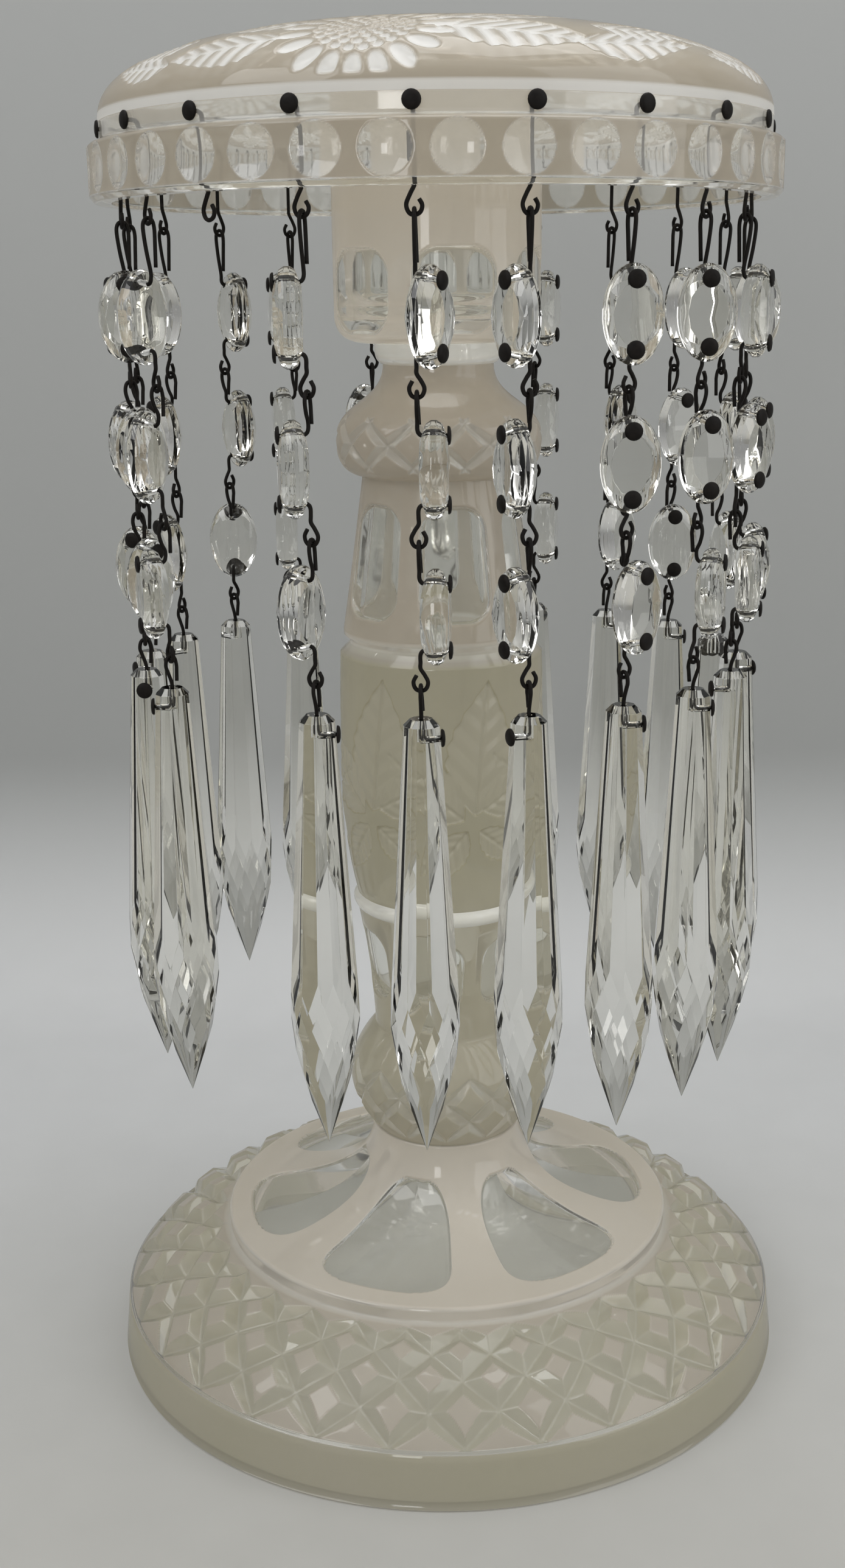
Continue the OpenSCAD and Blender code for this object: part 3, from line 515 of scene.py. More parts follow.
def windows(turn, low, high, corner):
    """Flat windows with rounded corners round a stem, between its outline's points low and high."""

    def pattern(a, v, r, z):
        t = (z - low[1]) / (high[1] - low[1])
        wide = low[0] + t * (high[0] - low[0])
        angle = near(a, WINDOWS, turn)
        half_h = (high[1] - low[1]) / 2
        x, y = np.abs(r * np.sin(angle)), np.abs(t - 0.5) * 2 * half_h
        px = np.maximum(x - wide * math.sin(WINDOW_HALF) + corner, 0)
        py = np.maximum(y - half_h + corner, 0)
        edge = corner - np.hypot(px, py)
        depth = np.maximum(0.05, r - wide * math.cos(WINDOW_HALF) / np.cos(angle)) * ramp(edge / 0.7)
        return depth, 0.9 * ramp((edge - 0.1) / 0.35)

    return pattern


def flat_bore(turn):
    """A bore with flats behind the windows round a stem."""

    def pattern(a, v, r, z):
        angle = near(a, WINDOWS, turn)
        depth = np.minimum(0, r * (math.cos(WINDOW_HALF) / np.cos(angle) - 1))
        return depth, np.ones_like(depth)

    return pattern


def band_windows(a, v, r, z):
    """Round windows along the canopy's band, over its bare edge."""
    x = r * near(a, BAND_WINDOWS, BAND_WINDOW_TURN)
    y = z - (Z_RIM + BAND_BEVEL + Z_BAND_TOP) / 2
    depth = BAND_HOLLOW * np.maximum(0, 1 - (x**2 + y**2) / (BAND_WINDOW_D / 2) ** 2)
    edge = ramp((Z_RIM + 1.6 - z) / 0.4)
    return depth, np.maximum(0.7 * laid_bare(depth * 3), 0.8 * edge)


def leaf(x, y, length, width, veins, teeth):
    """Depth of a leaf cut along x from the origin: saw-edged, with a midrib and slanting veins."""
    t = np.clip(x / length, 0, 1)
    half = width / 2 * np.sin(math.pi * t**0.8) * (1 + 0.22 * np.abs((x / length * teeth) % 1 - 0.5))
    inside = half - np.abs(y)
    vein = np.abs(((x - 0.9 * np.abs(y)) / length * veins) % 1 - 0.5) * 2
    depth = 0.2 + 0.35 * vein + 0.5 * np.maximum(0, 1 - np.abs(y) / 0.7)
    return depth * ramp(inside / 0.6) * (x > 0) * (x < length)


def turned_by(x, y, degrees):
    c, s = math.cos(math.radians(degrees)), math.sin(math.radians(degrees))
    return c * x + s * y, c * y - s * x


def spray(x, y, leaves, veins, teeth):
    """Depth of the leaves of one spray."""
    depth = 0
    for across, up, lean, length, width in leaves:
        depth = np.maximum(depth, leaf(*turned_by(x - across, y - up, lean), length, width, veins, teeth))
    return depth


def bloom(x, y):
    """Depth of a full flower: rows of scale-like petals round its heart, then a fringe of long ones."""
    rho, phi = np.hypot(x, y), np.arctan2(x, y)
    depth = 0
    for row in range(4):
        radius, count = 2.4 + 2.3 * row, 8 + 4 * row
        across = near(phi, count, (row % 2) * math.pi / count) * radius
        wide = math.pi * radius / count * 0.95
        depth = np.maximum(depth, 0.9 * np.maximum(0, 1 - (across / wide) ** 2 - ((rho - radius) / 1.4) ** 2))
    fringe = near(phi, 18) * rho
    long_petal = 1 - ((rho - 15.0) / 4.6) ** 2
    return np.maximum(depth, 1.1 * np.maximum(0, long_petal - (fringe / 2.2) ** 2))


def dome_cuts(a, v, r, z):
    """Flowers and leaves engraved matt white round the dome, above a stripe painted matt white: a painted
    highlight for the shine of the polished band at the dome's foot.
    """
    depth = 0
    for turn in DOME_SPRAYS:
        x = r * near(a, 1, math.radians(turn))
        depth = np.maximum(depth, bloom(x, v - BLOOM_UP))
        depth = np.maximum(depth, spray(x, v, DOME_LEAVES, 7, 9))
    # Painted highlight: the stripe at the dome's foot is marked matt white
    highlight_stripe = ramp((HIGHLIGHT_STRIPE_H - v) / 0.4)
    above = ramp((v - 3) / 1.5)
    return depth * above, -np.maximum(0.9 * highlight_stripe, ramp((depth - 0.12) / 0.45) * above)


def baluster_cuts(a, v, r, z):
    """Sprays of saw-edged leaves engraved round the baluster."""
    depth = 0
    for turn in BALUSTER_SPRAYS:
        x = r * near(a, 1, math.radians(turn))
        depth = np.maximum(depth, 0.8 * spray(x, z - Z_BALUSTER, BALUSTER_LEAVES, 6, 8))
    return depth, -0.22 * ramp(depth / 0.15)


# The stand


def foot_glass():
    shoulder_foot = np.array([FOOT_R - RIM_LEAN - RIM_LINE, RIM_H])
    shoulder_top = np.array([DISC_R + LEDGE, Z_SHOULDER])
    along = shoulder_top - shoulder_foot
    out = np.array([along[1], -along[0]]) / np.linalg.norm(along)
    bend = (shoulder_foot + shoulder_top) / 2 + 2 * SHOULDER_SWELL * out
    shoulder = curve(shoulder_foot, bend, shoulder_top)
    disc_edge = [(DISC_R + 0.7, Z_SHOULDER), (DISC_R, Z_SHOULDER + 0.3), (DISC_R, Z_DISC - EDGE)]
    flare = curve((DISC_R - EDGE, Z_DISC), (NECK_R + 1.5, Z_DISC + 2), (NECK_R, Z_NECK), steps=90)
    swell = KNOP_R - (NECK_R + WAIST_R) / 2 + 0.4
    knop = swelling((NECK_R - 0.8, Z_NECK), (WAIST_R, Z_WAIST), swell)
    mitred = knop_cuts(KNOP_R, Z_LOWER_KNOP_MID, *LOWER_KNOP_CUT)
    stem = curve((WAIST_R + 0.1, Z_WAIST + 1), (WAIST_R + 0.6, Z_WAIST + 14), (STEM_TOP_R, Z_LOWER_WAFER))
    stem_bore = [(STEM_TOP_R - STEM_WALL, Z_LOWER_WAFER), (WAIST_R - STEM_WALL, Z_WAIST)]
    bore, hollow, inner_r = NECK_R - FOOT_WALL, Z_DISC - FOOT_WALL, FOOT_R - FOOT_WALL
    under_disc = curve((bore, Z_NECK - 4), (bore, hollow + 1), (DISC_R - 8, hollow - 1), steps=20)
    z_line = RIM_H - RIM_LINE
    return turned("foot_glass", [
        Zone([(inner_r, 0), (FOOT_R - EDGE, 0), (FOOT_R, EDGE)], 2, WIDE_SIDES, cut=0.3),
        Zone([(FOOT_R, EDGE), (FOOT_R - RIM_LEAN, z_line)], 2, WIDE_SIDES, cut=HAZE, thin=OLIVE_TONE),
        Zone([(FOOT_R - RIM_LEAN - 0.3, z_line + 0.2), shoulder_foot], 0.3, WIDE_SIDES, cut=0.8),
        # The shoulder's grooves turn olive: painted shade in the hollows of the cuts, with the glass's own
        # tint
        Zone(shoulder, 0.4, WIDE_SIDES, shoulder_cuts, cut=0.1, thin=SHOULDER_TONE, deep=SHOULDER_CUT_TONE),
        Zone(disc_edge, 0.6, WIDE_SIDES, cut=0.35, thin=DISC_EDGE_TONE),
        Zone(flare, 0.5, WIDE_SIDES, petal_cuts, thin=DISC_TONE),
        Zone(knop, 0.45, STEM_SIDES, mitred, cut=HAZE, thin=STEM_TONE),
        Zone(stem, 0.5, STEM_SIDES, windows(STEM_TURN, *STEM_WINDOW), cut=HAZE, thin=STEM_TONE),
        Zone(stem_bore, 4, BORE_SIDES, flat_bore(STEM_TURN), loose=True),
        Zone([(KNOP_R - FOOT_WALL, Z_LOWER_KNOP_MID), (bore, Z_NECK)], 3, BORE_SIDES, cut=CLEAR),
        Zone(under_disc, 3, BORE_SIDES, cut=CLEAR),
        Zone([(shoulder_foot[0] - FOOT_WALL, RIM_H - 2), (inner_r, 0)], 3, BORE_SIDES, cut=CLEAR),
    ], CASED)


def column_glass():
    foot_r, z_top = STEM_TOP_R, Z_BALUSTER + BALUSTER_H
    z_groove = z_top - GROOVE_H / 2
    belly = curve((foot_r, Z_BALUSTER), (BALUSTER_R, Z_BALUSTER + 0.24 * BALUSTER_H),
                  (BALUSTER_R, Z_BALUSTER + 0.55 * BALUSTER_H))
    belly = np.vstack([belly, [(BALUSTER_R - 0.8, z_groove)]])
    groove = [(GROOVE_R, z_top - 0.5), (GROOVE_R, z_top + 0.5), (COLUMN_R, Z_COLUMN - 0.2 * GROOVE_H)]
    shaft = curve((COLUMN_R, Z_COLUMN), (COLUMN_TOP_R + 2.8, Z_COLUMN + 0.45 * COLUMN_H),
                  (COLUMN_TOP_R, Z_UPPER_KNOP))
    knop = curve((COLUMN_TOP_R + 0.4, Z_UPPER_KNOP), (UPPER_KNOP_R, Z_UPPER_KNOP + 1),
                 (UPPER_KNOP_R, Z_KNOP_MID))
    half_up = (Z_KNOP_MID + Z_UPPER_WAFER) / 2
    neck = curve((UPPER_KNOP_R, Z_KNOP_MID), (UPPER_KNOP_R, half_up + 0.5), (COLUMN_NECK_R, half_up),
                 (COLUMN_NECK_R, Z_UPPER_WAFER))
    knop = np.vstack([knop, neck[1:]])
    mitred = knop_cuts(UPPER_KNOP_R, Z_KNOP_MID, *UPPER_KNOP_CUT)
    neck_bore, shaft_bore = COLUMN_NECK_R - STEM_WALL, COLUMN_TOP_R - STEM_WALL
    knop_bore, belly_bore = UPPER_KNOP_R - STEM_WALL - 1.5, BALUSTER_R - STEM_WALL
    inside = [(belly_bore, z_groove - STEM_WALL), (belly_bore, Z_BALUSTER + 0.4 * BALUSTER_H),
              (foot_r - STEM_WALL, Z_BALUSTER)]
    return turned("column_glass", [
        Zone(belly, 0.45, STEM_SIDES, baluster_cuts, cut=HAZE, thin=OLIVE_TONE),
        Zone(groove, 0.4, STEM_SIDES, cut=0.5),
        Zone(shaft, 0.4, STEM_SIDES, windows(FRONT_TURN, *COLUMN_WINDOW), thin=COLUMN_TONE),
        Zone(knop, 0.45, STEM_SIDES, mitred, thin=COLUMN_TONE),
        Zone([(neck_bore, Z_UPPER_WAFER), (neck_bore, half_up)], 3, BORE_SIDES, cut=CLEAR, loose=True),
        Zone([(knop_bore, Z_KNOP_MID), (shaft_bore, Z_UPPER_KNOP)], 3, BORE_SIDES, cut=CLEAR),
        Zone([(shaft_bore, Z_UPPER_KNOP - 2), (GROOVE_R - STEM_WALL, Z_COLUMN)], 3, BORE_SIDES,
             flat_bore(FRONT_TURN)),
        Zone(inside, 3, BORE_SIDES, cut=CLEAR),
    ], CASED)


def cup_glass():
    floor_z, corner = Z_CUP + CUP_FLOOR, 4
    turn_in = curve((17, Z_CUP), (CUP_R, Z_CUP), (CUP_R, Z_CUP + 7), steps=24)
    wall = np.vstack([turn_in, [(CUP_R, Z_CUP + 24)]])
    top = [(CUP_R, Z_CUP + 26), (CUP_R, Z_SEAT - 0.4), (CUP_R - 0.4, Z_SEAT)]
    bore_foot = curve((CUP_BORE_R, floor_z + corner), (CUP_BORE_R, floor_z),
                      (CUP_BORE_R - corner, floor_z), steps=8)
    return turned("cup_glass", [
        Zone([(UPPER_WAFER_R, Z_CUP), (16.8, Z_CUP)], 1, STEM_SIDES, cut=CLEAR),
        Zone(wall, 0.4, STEM_SIDES, windows(FRONT_TURN, *CUP_WINDOW), thin=CUP_TONE),
        Zone(top, 4, STEM_SIDES, thin=CUP_TONE),
        Zone([(CUP_BORE_R, Z_SEAT), (CUP_BORE_R, floor_z + corner)], 4, BORE_SIDES, cut=CLEAR),
        Zone(bore_foot, 2, BORE_SIDES, cut=CLEAR),
        Zone([(CUP_BORE_R - 5, floor_z), (AXIS_R, floor_z)], 4, BORE_SIDES, cut=CLEAR),
    ], CASED)


def dome_arc(radius, rise, start, end, steps=80):
    """The dome's outline between two distances from the axis."""
    power = 2 / DOME_FULL
    t = np.linspace(*(math.acos((r / radius) ** (DOME_FULL / 2)) for r in (start, end)), steps + 1)
    return np.stack([radius * np.cos(t) ** power, Z_DOME + rise * np.sin(t) ** power], axis=1)


def canopy_glass():
    lip, plain_r, seat_r = 1.5, 40.0, CUP_R + 0.2
    rim = [(BAND_BORE_R, Z_RIM), (CANOPY_R - BAND_BEVEL, Z_RIM), (CANOPY_R, Z_RIM + BAND_BEVEL)]
    band = [(CANOPY_R, Z_RIM + BAND_BEVEL), (CANOPY_R, Z_BAND_TOP - EDGE), (CANOPY_R - EDGE, Z_BAND_TOP)]
    groove = [(DOME_R + 0.2, Z_BAND_TOP + EDGE), (DOME_R, Z_BAND_TOP + EDGE + 0.2), (DOME_R, Z_DOME - 0.3)]
    crown = dome_arc(DOME_R, DOME_RISE, plain_r, CUP_BORE_R + lip, 40)
    mouth = [(CUP_BORE_R, crown[-1][1] - lip), (CUP_BORE_R, Z_SEAT), (seat_r, Z_SEAT)]
    inside = dome_arc(BAND_BORE_R, DOME_RISE - CROWN_T, seat_r, BAND_BORE_R, 40)
    return turned("canopy_glass", [
        Zone(rim, 0.8, WIDE_SIDES, cut=CLEAR),
        # The band's windows are marked milk white where cut: painted light where light shines through them
        Zone(band, 0.4, WIDE_SIDES, band_windows, thin=CANOPY_TONE, deep=0.0),
        Zone(groove, 0.8, WIDE_SIDES, cut=0.7),
        Zone(dome_arc(DOME_R, DOME_RISE, DOME_R, plain_r), 0.45, WIDE_SIDES, dome_cuts, thin=CANOPY_TONE),
        Zone(crown[1:], 1.0, STEM_SIDES, thin=CANOPY_TONE),
        Zone(mouth, 2, BORE_SIDES, cut=CLEAR),
        Zone(inside, 3, BORE_SIDES, cut=CLEAR),
        Zone([(BAND_BORE_R, Z_DOME - 1), (BAND_BORE_R, Z_RIM)], 3, STEM_SIDES, cut=CLEAR),
    ], CASED)


def lower_wafer_glass():
    """Only the rim and the faces towards the two hollows: the rest is fused to the foot and the column."""
    face, bore, middle = STEM_TOP_R, STEM_TOP_R - STEM_WALL, Z_LOWER_WAFER + (Z_BALUSTER - Z_LOWER_WAFER) / 2
    rim = curve((face, Z_LOWER_WAFER), (face + WAFER_BULGE, middle), (face, Z_BALUSTER), steps=16)
    return turned("lower_wafer_glass", [
        Zone([(AXIS_R, Z_LOWER_WAFER), (bore, Z_LOWER_WAFER)], 6, WAFER_SIDES),
        Zone(rim, 0.6, WAFER_SIDES, loose=True),
        Zone([(bore, Z_BALUSTER), (AXIS_R, Z_BALUSTER)], 6, WAFER_SIDES, loose=True),
    ], WAFER)


def upper_wafer_glass():
    """Only the rim and the face towards the column's hollow: the rest is fused to the column and the cup."""
    rim = curve((COLUMN_NECK_R, Z_UPPER_WAFER), (COLUMN_NECK_R + WAFER_BULGE, Z_UPPER_WAFER + 0.6),
                (UPPER_WAFER_R, Z_CUP - 1), (UPPER_WAFER_R, Z_CUP))
    return turned("upper_wafer_glass", [
        Zone([(AXIS_R, Z_UPPER_WAFER), (COLUMN_NECK_R - STEM_WALL, Z_UPPER_WAFER)], 5, WAFER_SIDES),
        Zone(rim, 0.5, WAFER_SIDES, loose=True),
    ], WAFER)


for make, node, slot in (
    (foot_glass, "foot", "cased_glass"), (column_glass, "column", "cased_glass"),
    (cup_glass, "candle_cup", "cased_glass"), (canopy_glass, "canopy", "cased_glass"),
    (lower_wafer_glass, "lower_wafer", "clear_glass"), (upper_wafer_glass, "upper_wafer", "clear_glass"),
):
    glass = make()
    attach(glass, "stand")
    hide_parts(node)


# Cut crystal


def around(count, start=0.0):
    """Cosines and sines of even angles round a circle, from a share of a step on."""
    angles = [TAU * (i + start) / count for i in range(count)]
    return [(math.cos(a), math.sin(a)) for a in angles]


def bmesh_piece(name, bm, material):
    mesh = bpy.data.meshes.new(name)
    bm.to_mesh(mesh)
    bm.free()
    return piece(name, mesh, material)


def cut_stone(name, points, soft, bevel, bores):
    """Convex stone through the points, with its bores drilled: (place, way, length). Faces that meet at less
    than the soft angle, in degrees, are shaded as one."""
    bm = bmesh.new()
    for p in points:
        bm.verts.new(p)
    hull = bmesh.ops.convex_hull(bm, input=bm.verts)
    inner = [v for v in hull["geom_interior"] if isinstance(v, bmesh.types.BMVert)]
    bmesh.ops.delete(bm, geom=inner, context="VERTS")
    bmesh.ops.dissolve_limit(bm, angle_limit=math.radians(0.2), verts=bm.verts, edges=bm.edges)
    hard = [e for e in bm.edges if e.calc_face_angle(0) > math.radians(soft)]
    bmesh.ops.bevel(bm, geom=hard, offset=bevel, segments=2, profile=0.6, affect="EDGES")
    stone = bmesh_piece(name, bm, CRYSTAL)
    bm = bmesh.new()
    for place, way, length in bores:
        turn = Vector((0, 0, 1)).rotation_difference(Vector(way)).to_matrix().to_4x4()
        bmesh.ops.create_cone(bm, segments=16, radius1=HOLE_R, radius2=HOLE_R, depth=length, cap_ends=True,
                              matrix=Matrix.Translation(place) @ turn)
    drill = bmesh_piece(name + "_drill", bm, CRYSTAL)
    cut = stone.modifiers.new("bores", "BOOLEAN")
    cut.object, cut.solver, cut.use_self = drill, "EXACT", True
    mesh = bpy.data.meshes.new_from_object(stone.evaluated_get(bpy.context.evaluated_depsgraph_get()))
    mesh.shade_smooth()
    mesh.set_sharp_from_angle(angle=math.radians(soft))
    for spare in (stone, drill):
        bpy.data.objects.remove(spare)
    return mesh


def bead_mesh():
    """Oval bead: a smooth girdle and crown, and on each side two wide tables that meet across its middle."""
    outline = [(BEAD_TABLE[0] * x * BEAD_W / 2, 1 - TABLE_FALL * abs(z), BEAD_TABLE[1] * z * BEAD_L / 2)
               for x, z in around(12)]
    for share, lift in (BEAD_GIRDLE, BEAD_CROWN):
        outline += [(BEAD_W / 2 * share * x, lift, BEAD_L / 2 * share * z) for x, z in around(36, 0.5)]
    points = [(x, side * lift * BEAD_T / 2, z) for x, lift, z in outline for side in (-1, 1)]
    bores = [((0, 0, end * HOLE_SPAN / 2), (0, 1, 0), 2 * BEAD_T) for end in (-1, 1)]
    return cut_stone("bead", points, soft=20, bevel=0.12, bores=bores)


def prism_mesh():
    """Spear prism: long facets over rows of lozenges that close to a point, each row where planes meet."""
    half_turn = math.pi / PRISM_SIDES
    shrink = math.cos(half_turn)
    flare = (PRISM_R - PRISM_TOP_R) / (PRISM_WIDE - PRISM_BEVEL)
    rows = [PRISM_R, shrink * (PRISM_R + flare * PRISM_ROW)]
    rows += [2 * shrink * rows[1] - rows[0]]
    rows += [2 * shrink * rows[2] - rows[1]]
    slope = (rows[2] - rows[3] * shrink) / PRISM_ROW
    last_z = PRISM_WIDE + 3 * PRISM_ROW
    drop = rows[3] * (1 - shrink**2) / (rows[3] / (PRISM_L - last_z) - shrink * slope)
    rings = [(PRISM_TOP_R - PRISM_BEVEL, 0, 1), (PRISM_TOP_R, PRISM_BEVEL, 1)]
    rings += [(row, PRISM_WIDE + i * PRISM_ROW, 1 - i % 2) for i, row in enumerate(rows)]
    rings += [(rows[3] * shrink - slope * drop, last_z + drop, 1), (0.001, PRISM_L, 0)]
    points = []
    for radius, depth, half in rings:
        for i in range(PRISM_SIDES):
            a = TAU * i / PRISM_SIDES + half * half_turn - math.pi / 2
            points.append((radius * math.cos(a), radius * math.sin(a), -depth))
    bores = [((0, 0, -PRISM_INSET / 2 + 1), (0, 0, 1), PRISM_INSET + 2 + HOLE_R),
             ((0, -PRISM_R / 2, -PRISM_INSET), (0, 1, 0), PRISM_R)]
    return cut_stone("prism", points, soft=4, bevel=0.06, bores=bores)


# Pins


def bend_path(points, steps=6):
    """A smooth line through the points."""
    p = np.array(points, float)
    p = np.vstack([2 * p[0] - p[1], p, 2 * p[-1] - p[-2]])
    t = np.linspace(0, 1, steps, endpoint=False)[:, None]
    out = []
    for a, b, c, d in zip(p[:-3], p[1:-2], p[2:-1], p[3:]):
        square, cube = 2 * a - 5 * b + 4 * c - d, 3 * b - a - 3 * c + d
        out.append(0.5 * (2 * b + (c - a) * t + square * t**2 + cube * t**3))
    return np.vstack(out + [p[-2:-1]])


def skin(bm, rings):
    """Smooth faces between rings of vertices, and a flat one across the first ring."""
    for low, high in zip(rings[:-1], rings[1:]):
        for j in range(len(low)):
            k = (j + 1) % len(low)
            bm.faces.new((low[j], low[k], high[k], high[j])).smooth = True
    bm.faces.new(rings[0][::-1])


def wire(bm, points, place, sides=8):
    """A round wire along a smooth line, closed at its ends."""
    path = bend_path(points)
    rings, side = [], None
    for i, p in enumerate(path):
        way = Vector(path[min(i + 1, len(path) - 1)] - path[max(i - 1, 0)]).normalized()
        side = way.orthogonal().normalized() if side is None else (side - way * side.dot(way)).normalized()
        other, centre = way.cross(side), Vector(p)
        ring = [centre + WIRE_R * (c * side + s * other) for c, s in around(sides)]
        rings.append([bm.verts.new(place @ corner) for corner in ring])
    skin(bm, rings)
    bm.faces.new(rings[-1])


def pin_head(bm, place, sides=20):
    """Flat-backed, slightly domed head of a pin at the origin, facing -Y."""
    rings = []
    for share, out in ((0.5, 0), (1.0, 0.05), (1.0, 0.45), (0.86, 0.8), (0.45, 1.0), (0.02, 1.05)):
        rings.append([bm.verts.new(place @ Vector((HEAD_R * share * c, -HEAD_H * out, HEAD_R * share * s)))
                      for c, s in around(sides)])
    skin(bm, rings)


def shank(reach, drop):
    """Where a pin's leg turns out through its hole, down from its eye, and where its head sits."""
    b = BEND_R
    return [(0, 0, b - drop + 1.5), (0, 0, b - drop), (0, -0.3 * b, 0.3 * b - drop), (0, -b, -drop),
            (0, -reach / 2, -drop), (0, -reach, -drop)]


def mirrored(points):
    return [(x, y, -z) for x, y, z in points]


def hanging_eye(left):
    """Teardrop at the foot of a wire, its lowest wire at the origin, in the plane of X and Z."""
    line = ((0, 3.0), (0.5, 2.2), (0.97, 1.2), (0.7, 0.3), (0, 0), (-0.7, 0.3), (-0.97, 1.2), (-0.55, 2.1))
    return [(left * across * EYE_R, 0, up * EYE_R) for across, up in line]


def hairpin(length):
    """Doubled wire over an eye at the origin, in the plane of Y and Z: its free leg, round, and down."""
    top = LINK_RISE
    return [(0.25, 1.15, -length), (0.1, 1.3, -0.45 * length), (0, 1.35, top - 2.2), (0, 0.95, top - 0.5),
            (0, 0, top), (0, -0.95, top - 0.5), (0, -1.3, top - 2.2), (0, -0.8, top - 0.62 * length - 1)]


def place_at(k, z):
    a = FIRST_TURN + k * TAU / PENDANTS
    return Matrix.Rotation(a, 4, "Z") @ Matrix.Translation((0, -CHAIN_R, z))


def turned_to(degrees):
    return Matrix.Rotation(math.radians(degrees), 4, "Z")


def rotated(points, degrees):
    turn = turned_to(degrees)
    return [tuple(turn @ Vector(p)) for p in points]


def hung_piece(name, bm, material, body, node):
    bmesh.ops.scale(bm, vec=(MM, MM, MM), verts=bm.verts)
    made = bmesh_piece(name, bm, material)
    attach(made, body)
    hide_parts(node)


def add_mesh(bm, mesh, place):
    before = len(bm.verts)
    bm.from_mesh(mesh)
    bm.verts.ensure_lookup_table()
    bmesh.ops.transform(bm, matrix=place, verts=bm.verts[before:])


def rim_pins():
    """Headed wires through the canopy's groove that end below the rim in an open hook."""
    bm = bmesh.new()
    reach, rise, b, e = DOME_R - CHAIN_R + 0.15, Z_PIN - Z_SWING, BEND_R, EYE_R
    top = [(0, -reach, rise), (0, -reach / 2, rise), (0, -b, rise), (0, -0.3 * b, rise - 0.3 * b),
           (0, 0, rise - b), (0.1, 0, rise - 5)]
    hook = [(0.2, 0, 4.6 * e), (0.1, 0, 3.6 * e), (-0.55 * e, 0, 2.4 * e), (-1.0 * e, 0, 1.25 * e),
            (-0.7 * e, 0, 0.3 * e), (0, 0, 0), (0.75 * e, 0, 0.35 * e), (0.98 * e, 0, 1.15 * e),
            (0.6 * e, 0, 1.9 * e)]
    for k in range(PENDANTS):
        place = place_at(k, Z_SWING)
        wire(bm, top + hook, place)
        pin_head(bm, place @ Matrix.Translation((0, -reach, rise)))
    hung_piece("rim_hooks", bm, WIRE, "stand", "rim_pins")


def bead_face(z):
    """Half thickness of a bead at a height from its middle, where a head rests."""
    shares, lifts = zip((0, 1.0), (BEAD_TABLE[1], 1 - TABLE_FALL), BEAD_CROWN, BEAD_GIRDLE)
    return BEAD_T / 2 * np.interp(abs(z) / (BEAD_L / 2), shares, lifts)


def strand(k, bead):
    """Three beads on linked pins, and the wires that link them."""
    name = "%02d" % (k + 1)
    body, node = "strand_" + name, "bead_strand_" + name
    out = bead_face(HOLE_SPAN / 2) + 0.3 + WIRE_R
    reach = out + bead_face(HOLE_SPAN / 2) + HEAD_GAP
    place = place_at(k, Z_SWING)
    stones, links = bmesh.new(), bmesh.new()
    for j, turn in enumerate(BEAD_TURNS[k]):
        eye = 0 if j == 0 else -(TOP_LINK + j * BEAD_PITCH - BEAD_LINK + HANG_LINK)
        hole = -TOP_LINK - j * BEAD_PITCH
        foot = hole - HOLE_SPAN
        here = place @ turned_to(turn)
        add_mesh(stones, bead, here @ Matrix.Translation((0, -out, (hole + foot) / 2)))
        leg = eye - hole
        upper = hairpin(0.72 * leg) + rotated(shank(reach, leg), turn)
        wire(links, upper, place @ Matrix.Translation((0, 0, eye)))
        lower = rotated(mirrored(shank(reach, HANG_LINK)), turn)[::-1]
        lower += hanging_eye(-1 if (k + j) % 2 else 1)
        wire(links, lower, place @ Matrix.Translation((0, 0, foot - HANG_LINK)))
        for z in (hole, foot):
            pin_head(links, here @ Matrix.Translation((0, -reach, z)))
    hung_piece("beads_" + name, stones, CRYSTAL, body, node)
    hung_piece("bead_links_" + name, links, WIRE, body, node)


def spear(k, prism):
    """A spear prism and the headed pin it hangs by."""
    name = "%02d" % (k + 1)
    body, node = "spear_" + name, "prism_" + name
    place = place_at(k, Z_SWING - PRISM_DROP)
    turn = PRISM_TURNS[k]
    here = place @ turned_to(turn)
    flare = (PRISM_R - PRISM_TOP_R) / PRISM_WIDE
    face = math.cos(math.pi / PRISM_SIDES) * (PRISM_TOP_R + flare * (PRISM_INSET + HEAD_R))
    reach, leg = face + HEAD_GAP, PRISM_LINK + PRISM_INSET
    stones, links = bmesh.new(), bmesh.new()
    add_mesh(stones, prism, here @ Matrix.Translation((0, 0, -PRISM_LINK)))
    wire(links, hairpin(4.6) + [(0, 0, -PRISM_LINK + 0.6)] + rotated(shank(reach, leg)[1:], turn), place)
    pin_head(links, here @ Matrix.Translation((0, -reach, -leg)))
    hung_piece("spear_" + name, stones, CRYSTAL, body, node)
    hung_piece("spear_pin_" + name, links, WIRE, body, node)


rim_pins()
bead, prism = bead_mesh(), prism_mesh()
for k in range(PENDANTS):
    if k != BARE:
        strand(k, bead)
        spear(k, prism)


# Stage, light and camera


def cyclorama():
    """Floor that sweeps up into a wall behind the lustre."""
    sweep_y, sweep_r, half_w, near_y, wall_h = 188.0, 86.0, 1600.0, -1600.0, 900.0
    turn = np.linspace(0, math.pi / 2, 17)
    sweep = np.stack([sweep_y + sweep_r * np.sin(turn), sweep_r * (1 - np.cos(turn))], axis=1)
    line = np.vstack([[(near_y, 0)], sweep, [(sweep_y + sweep_r, wall_h)]])
    bm = bmesh.new()
    sides = [[bm.verts.new((x * MM, y * MM, z * MM)) for y, z in line] for x in (-half_w, half_w)]
    for i in range(len(line) - 1):
        bm.faces.new((sides[0][i], sides[1][i], sides[1][i + 1], sides[0][i + 1])).smooth = True
    bmesh_piece("cyclorama", bm, BACKDROP)


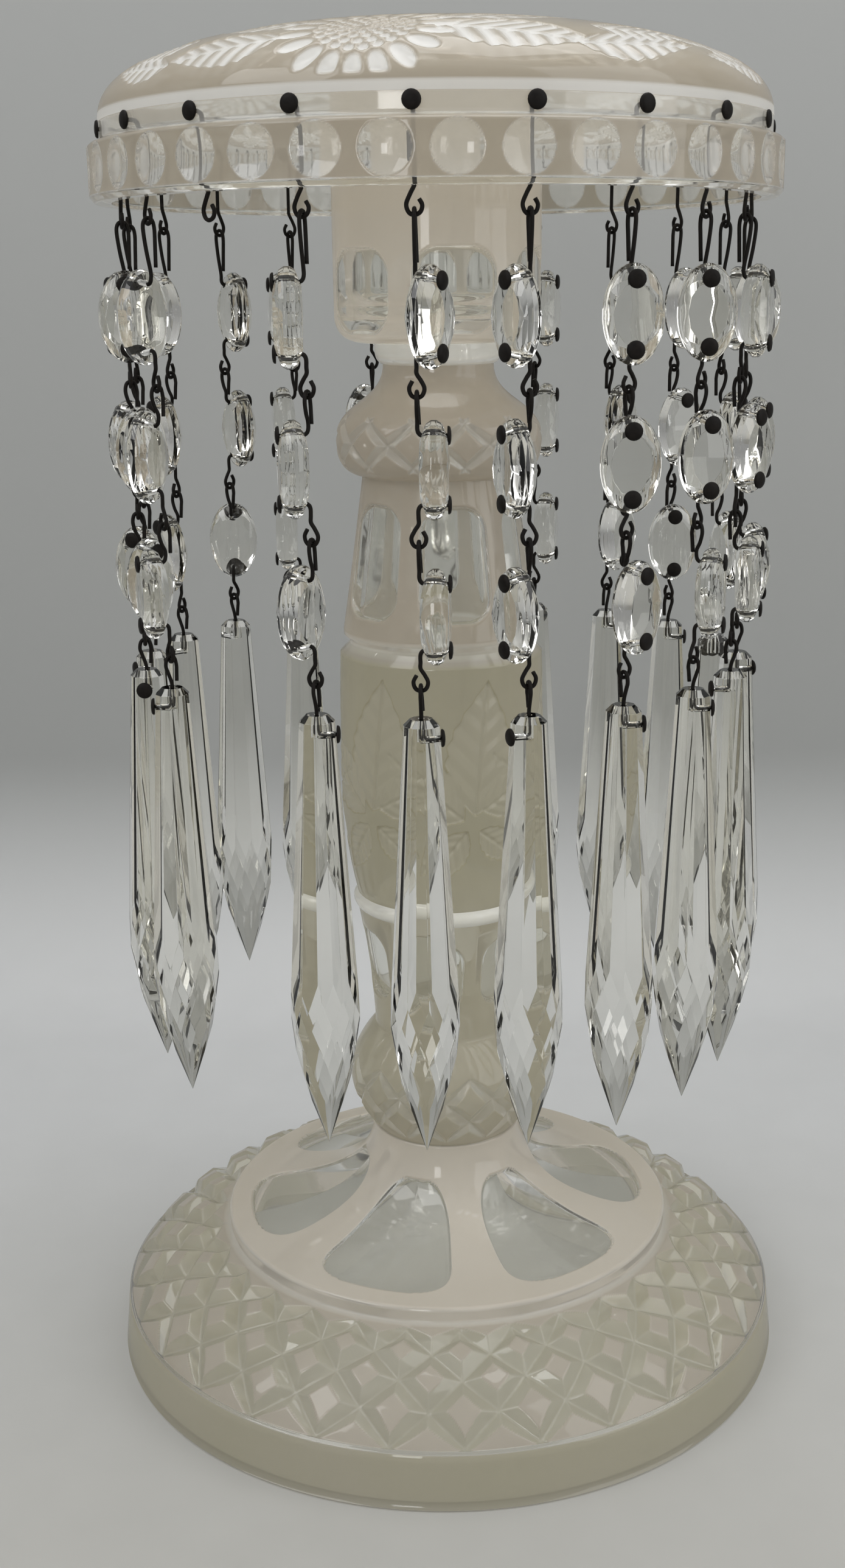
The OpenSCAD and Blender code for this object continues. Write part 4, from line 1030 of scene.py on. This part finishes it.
def softbox(name, place, size, power, target=(0, 0, 170)):
    data = bpy.data.lights.new(name, "AREA")
    data.shape, data.size, data.size_y, data.energy = "RECTANGLE", size[0] * MM, size[1] * MM, power
    made = bpy.data.objects.new(name, data)
    bpy.context.scene.collection.objects.link(made)
    made.location = Vector(place) * MM
    made.rotation_euler = (Vector(target) - Vector(place)).to_track_quat("-Z", "Y").to_euler()


def camera():
    """The photograph's camera, fitted to the rim, the foot and the stem. The focal length and the shift of
    the optical centre are in pixels of the photograph."""
    image_h, focal, centre_off, pitch, roll = 2576, 2929.0, 33.0, 15.49, 0.6
    place = Vector((0, -444.6, 275.2))
    data = bpy.data.cameras.new("camera")
    data.sensor_width = 36
    data.lens = focal / image_h * data.sensor_width
    data.shift_x = -centre_off / image_h
    data.clip_start, data.clip_end = 0.01, 20
    made = bpy.data.objects.new("camera", data)
    bpy.context.scene.collection.objects.link(made)
    made.location = place * MM
    tilt = Matrix.Rotation(math.radians(90 - pitch), 3, "X") @ Matrix.Rotation(math.radians(-roll), 3, "Z")
    made.rotation_euler = tilt.to_euler()
    bpy.context.scene.camera = made


def world():
    """Soft light all round that grows stronger overhead."""
    made = bpy.data.worlds.new("studio")
    bpy.context.scene.world = made
    made.use_nodes = True
    nodes, join = made.node_tree.nodes, made.node_tree.links.new
    sky = nodes["Background"]
    sky.inputs["Color"].default_value = (0.86, 0.87, 0.88, 1)
    way, up, grade = (nodes.new("ShaderNode" + kind) for kind in ("TexCoord", "SeparateXYZ", "MapRange"))
    for socket, value in (("From Min", 0.0), ("From Max", 0.8), ("To Min", 0.32), ("To Max", 0.75)):
        grade.inputs[socket].default_value = value
    join(way.outputs["Generated"], up.inputs["Vector"])
    join(up.outputs["Z"], grade.inputs["Value"])
    join(grade.outputs["Result"], sky.inputs["Strength"])


cyclorama()
softbox("key", (-700, -500, 900), (700, 500), 3.4)
softbox("fill", (750, -420, 560), (700, 900), 3.2)
softbox("window", (-250, -1100, 420), (180, 340), 1.2)
softbox("crown", (60, 120, 980), (600, 600), 3.6)
world()
camera()
bpy.context.scene.view_settings.view_transform = "Standard"
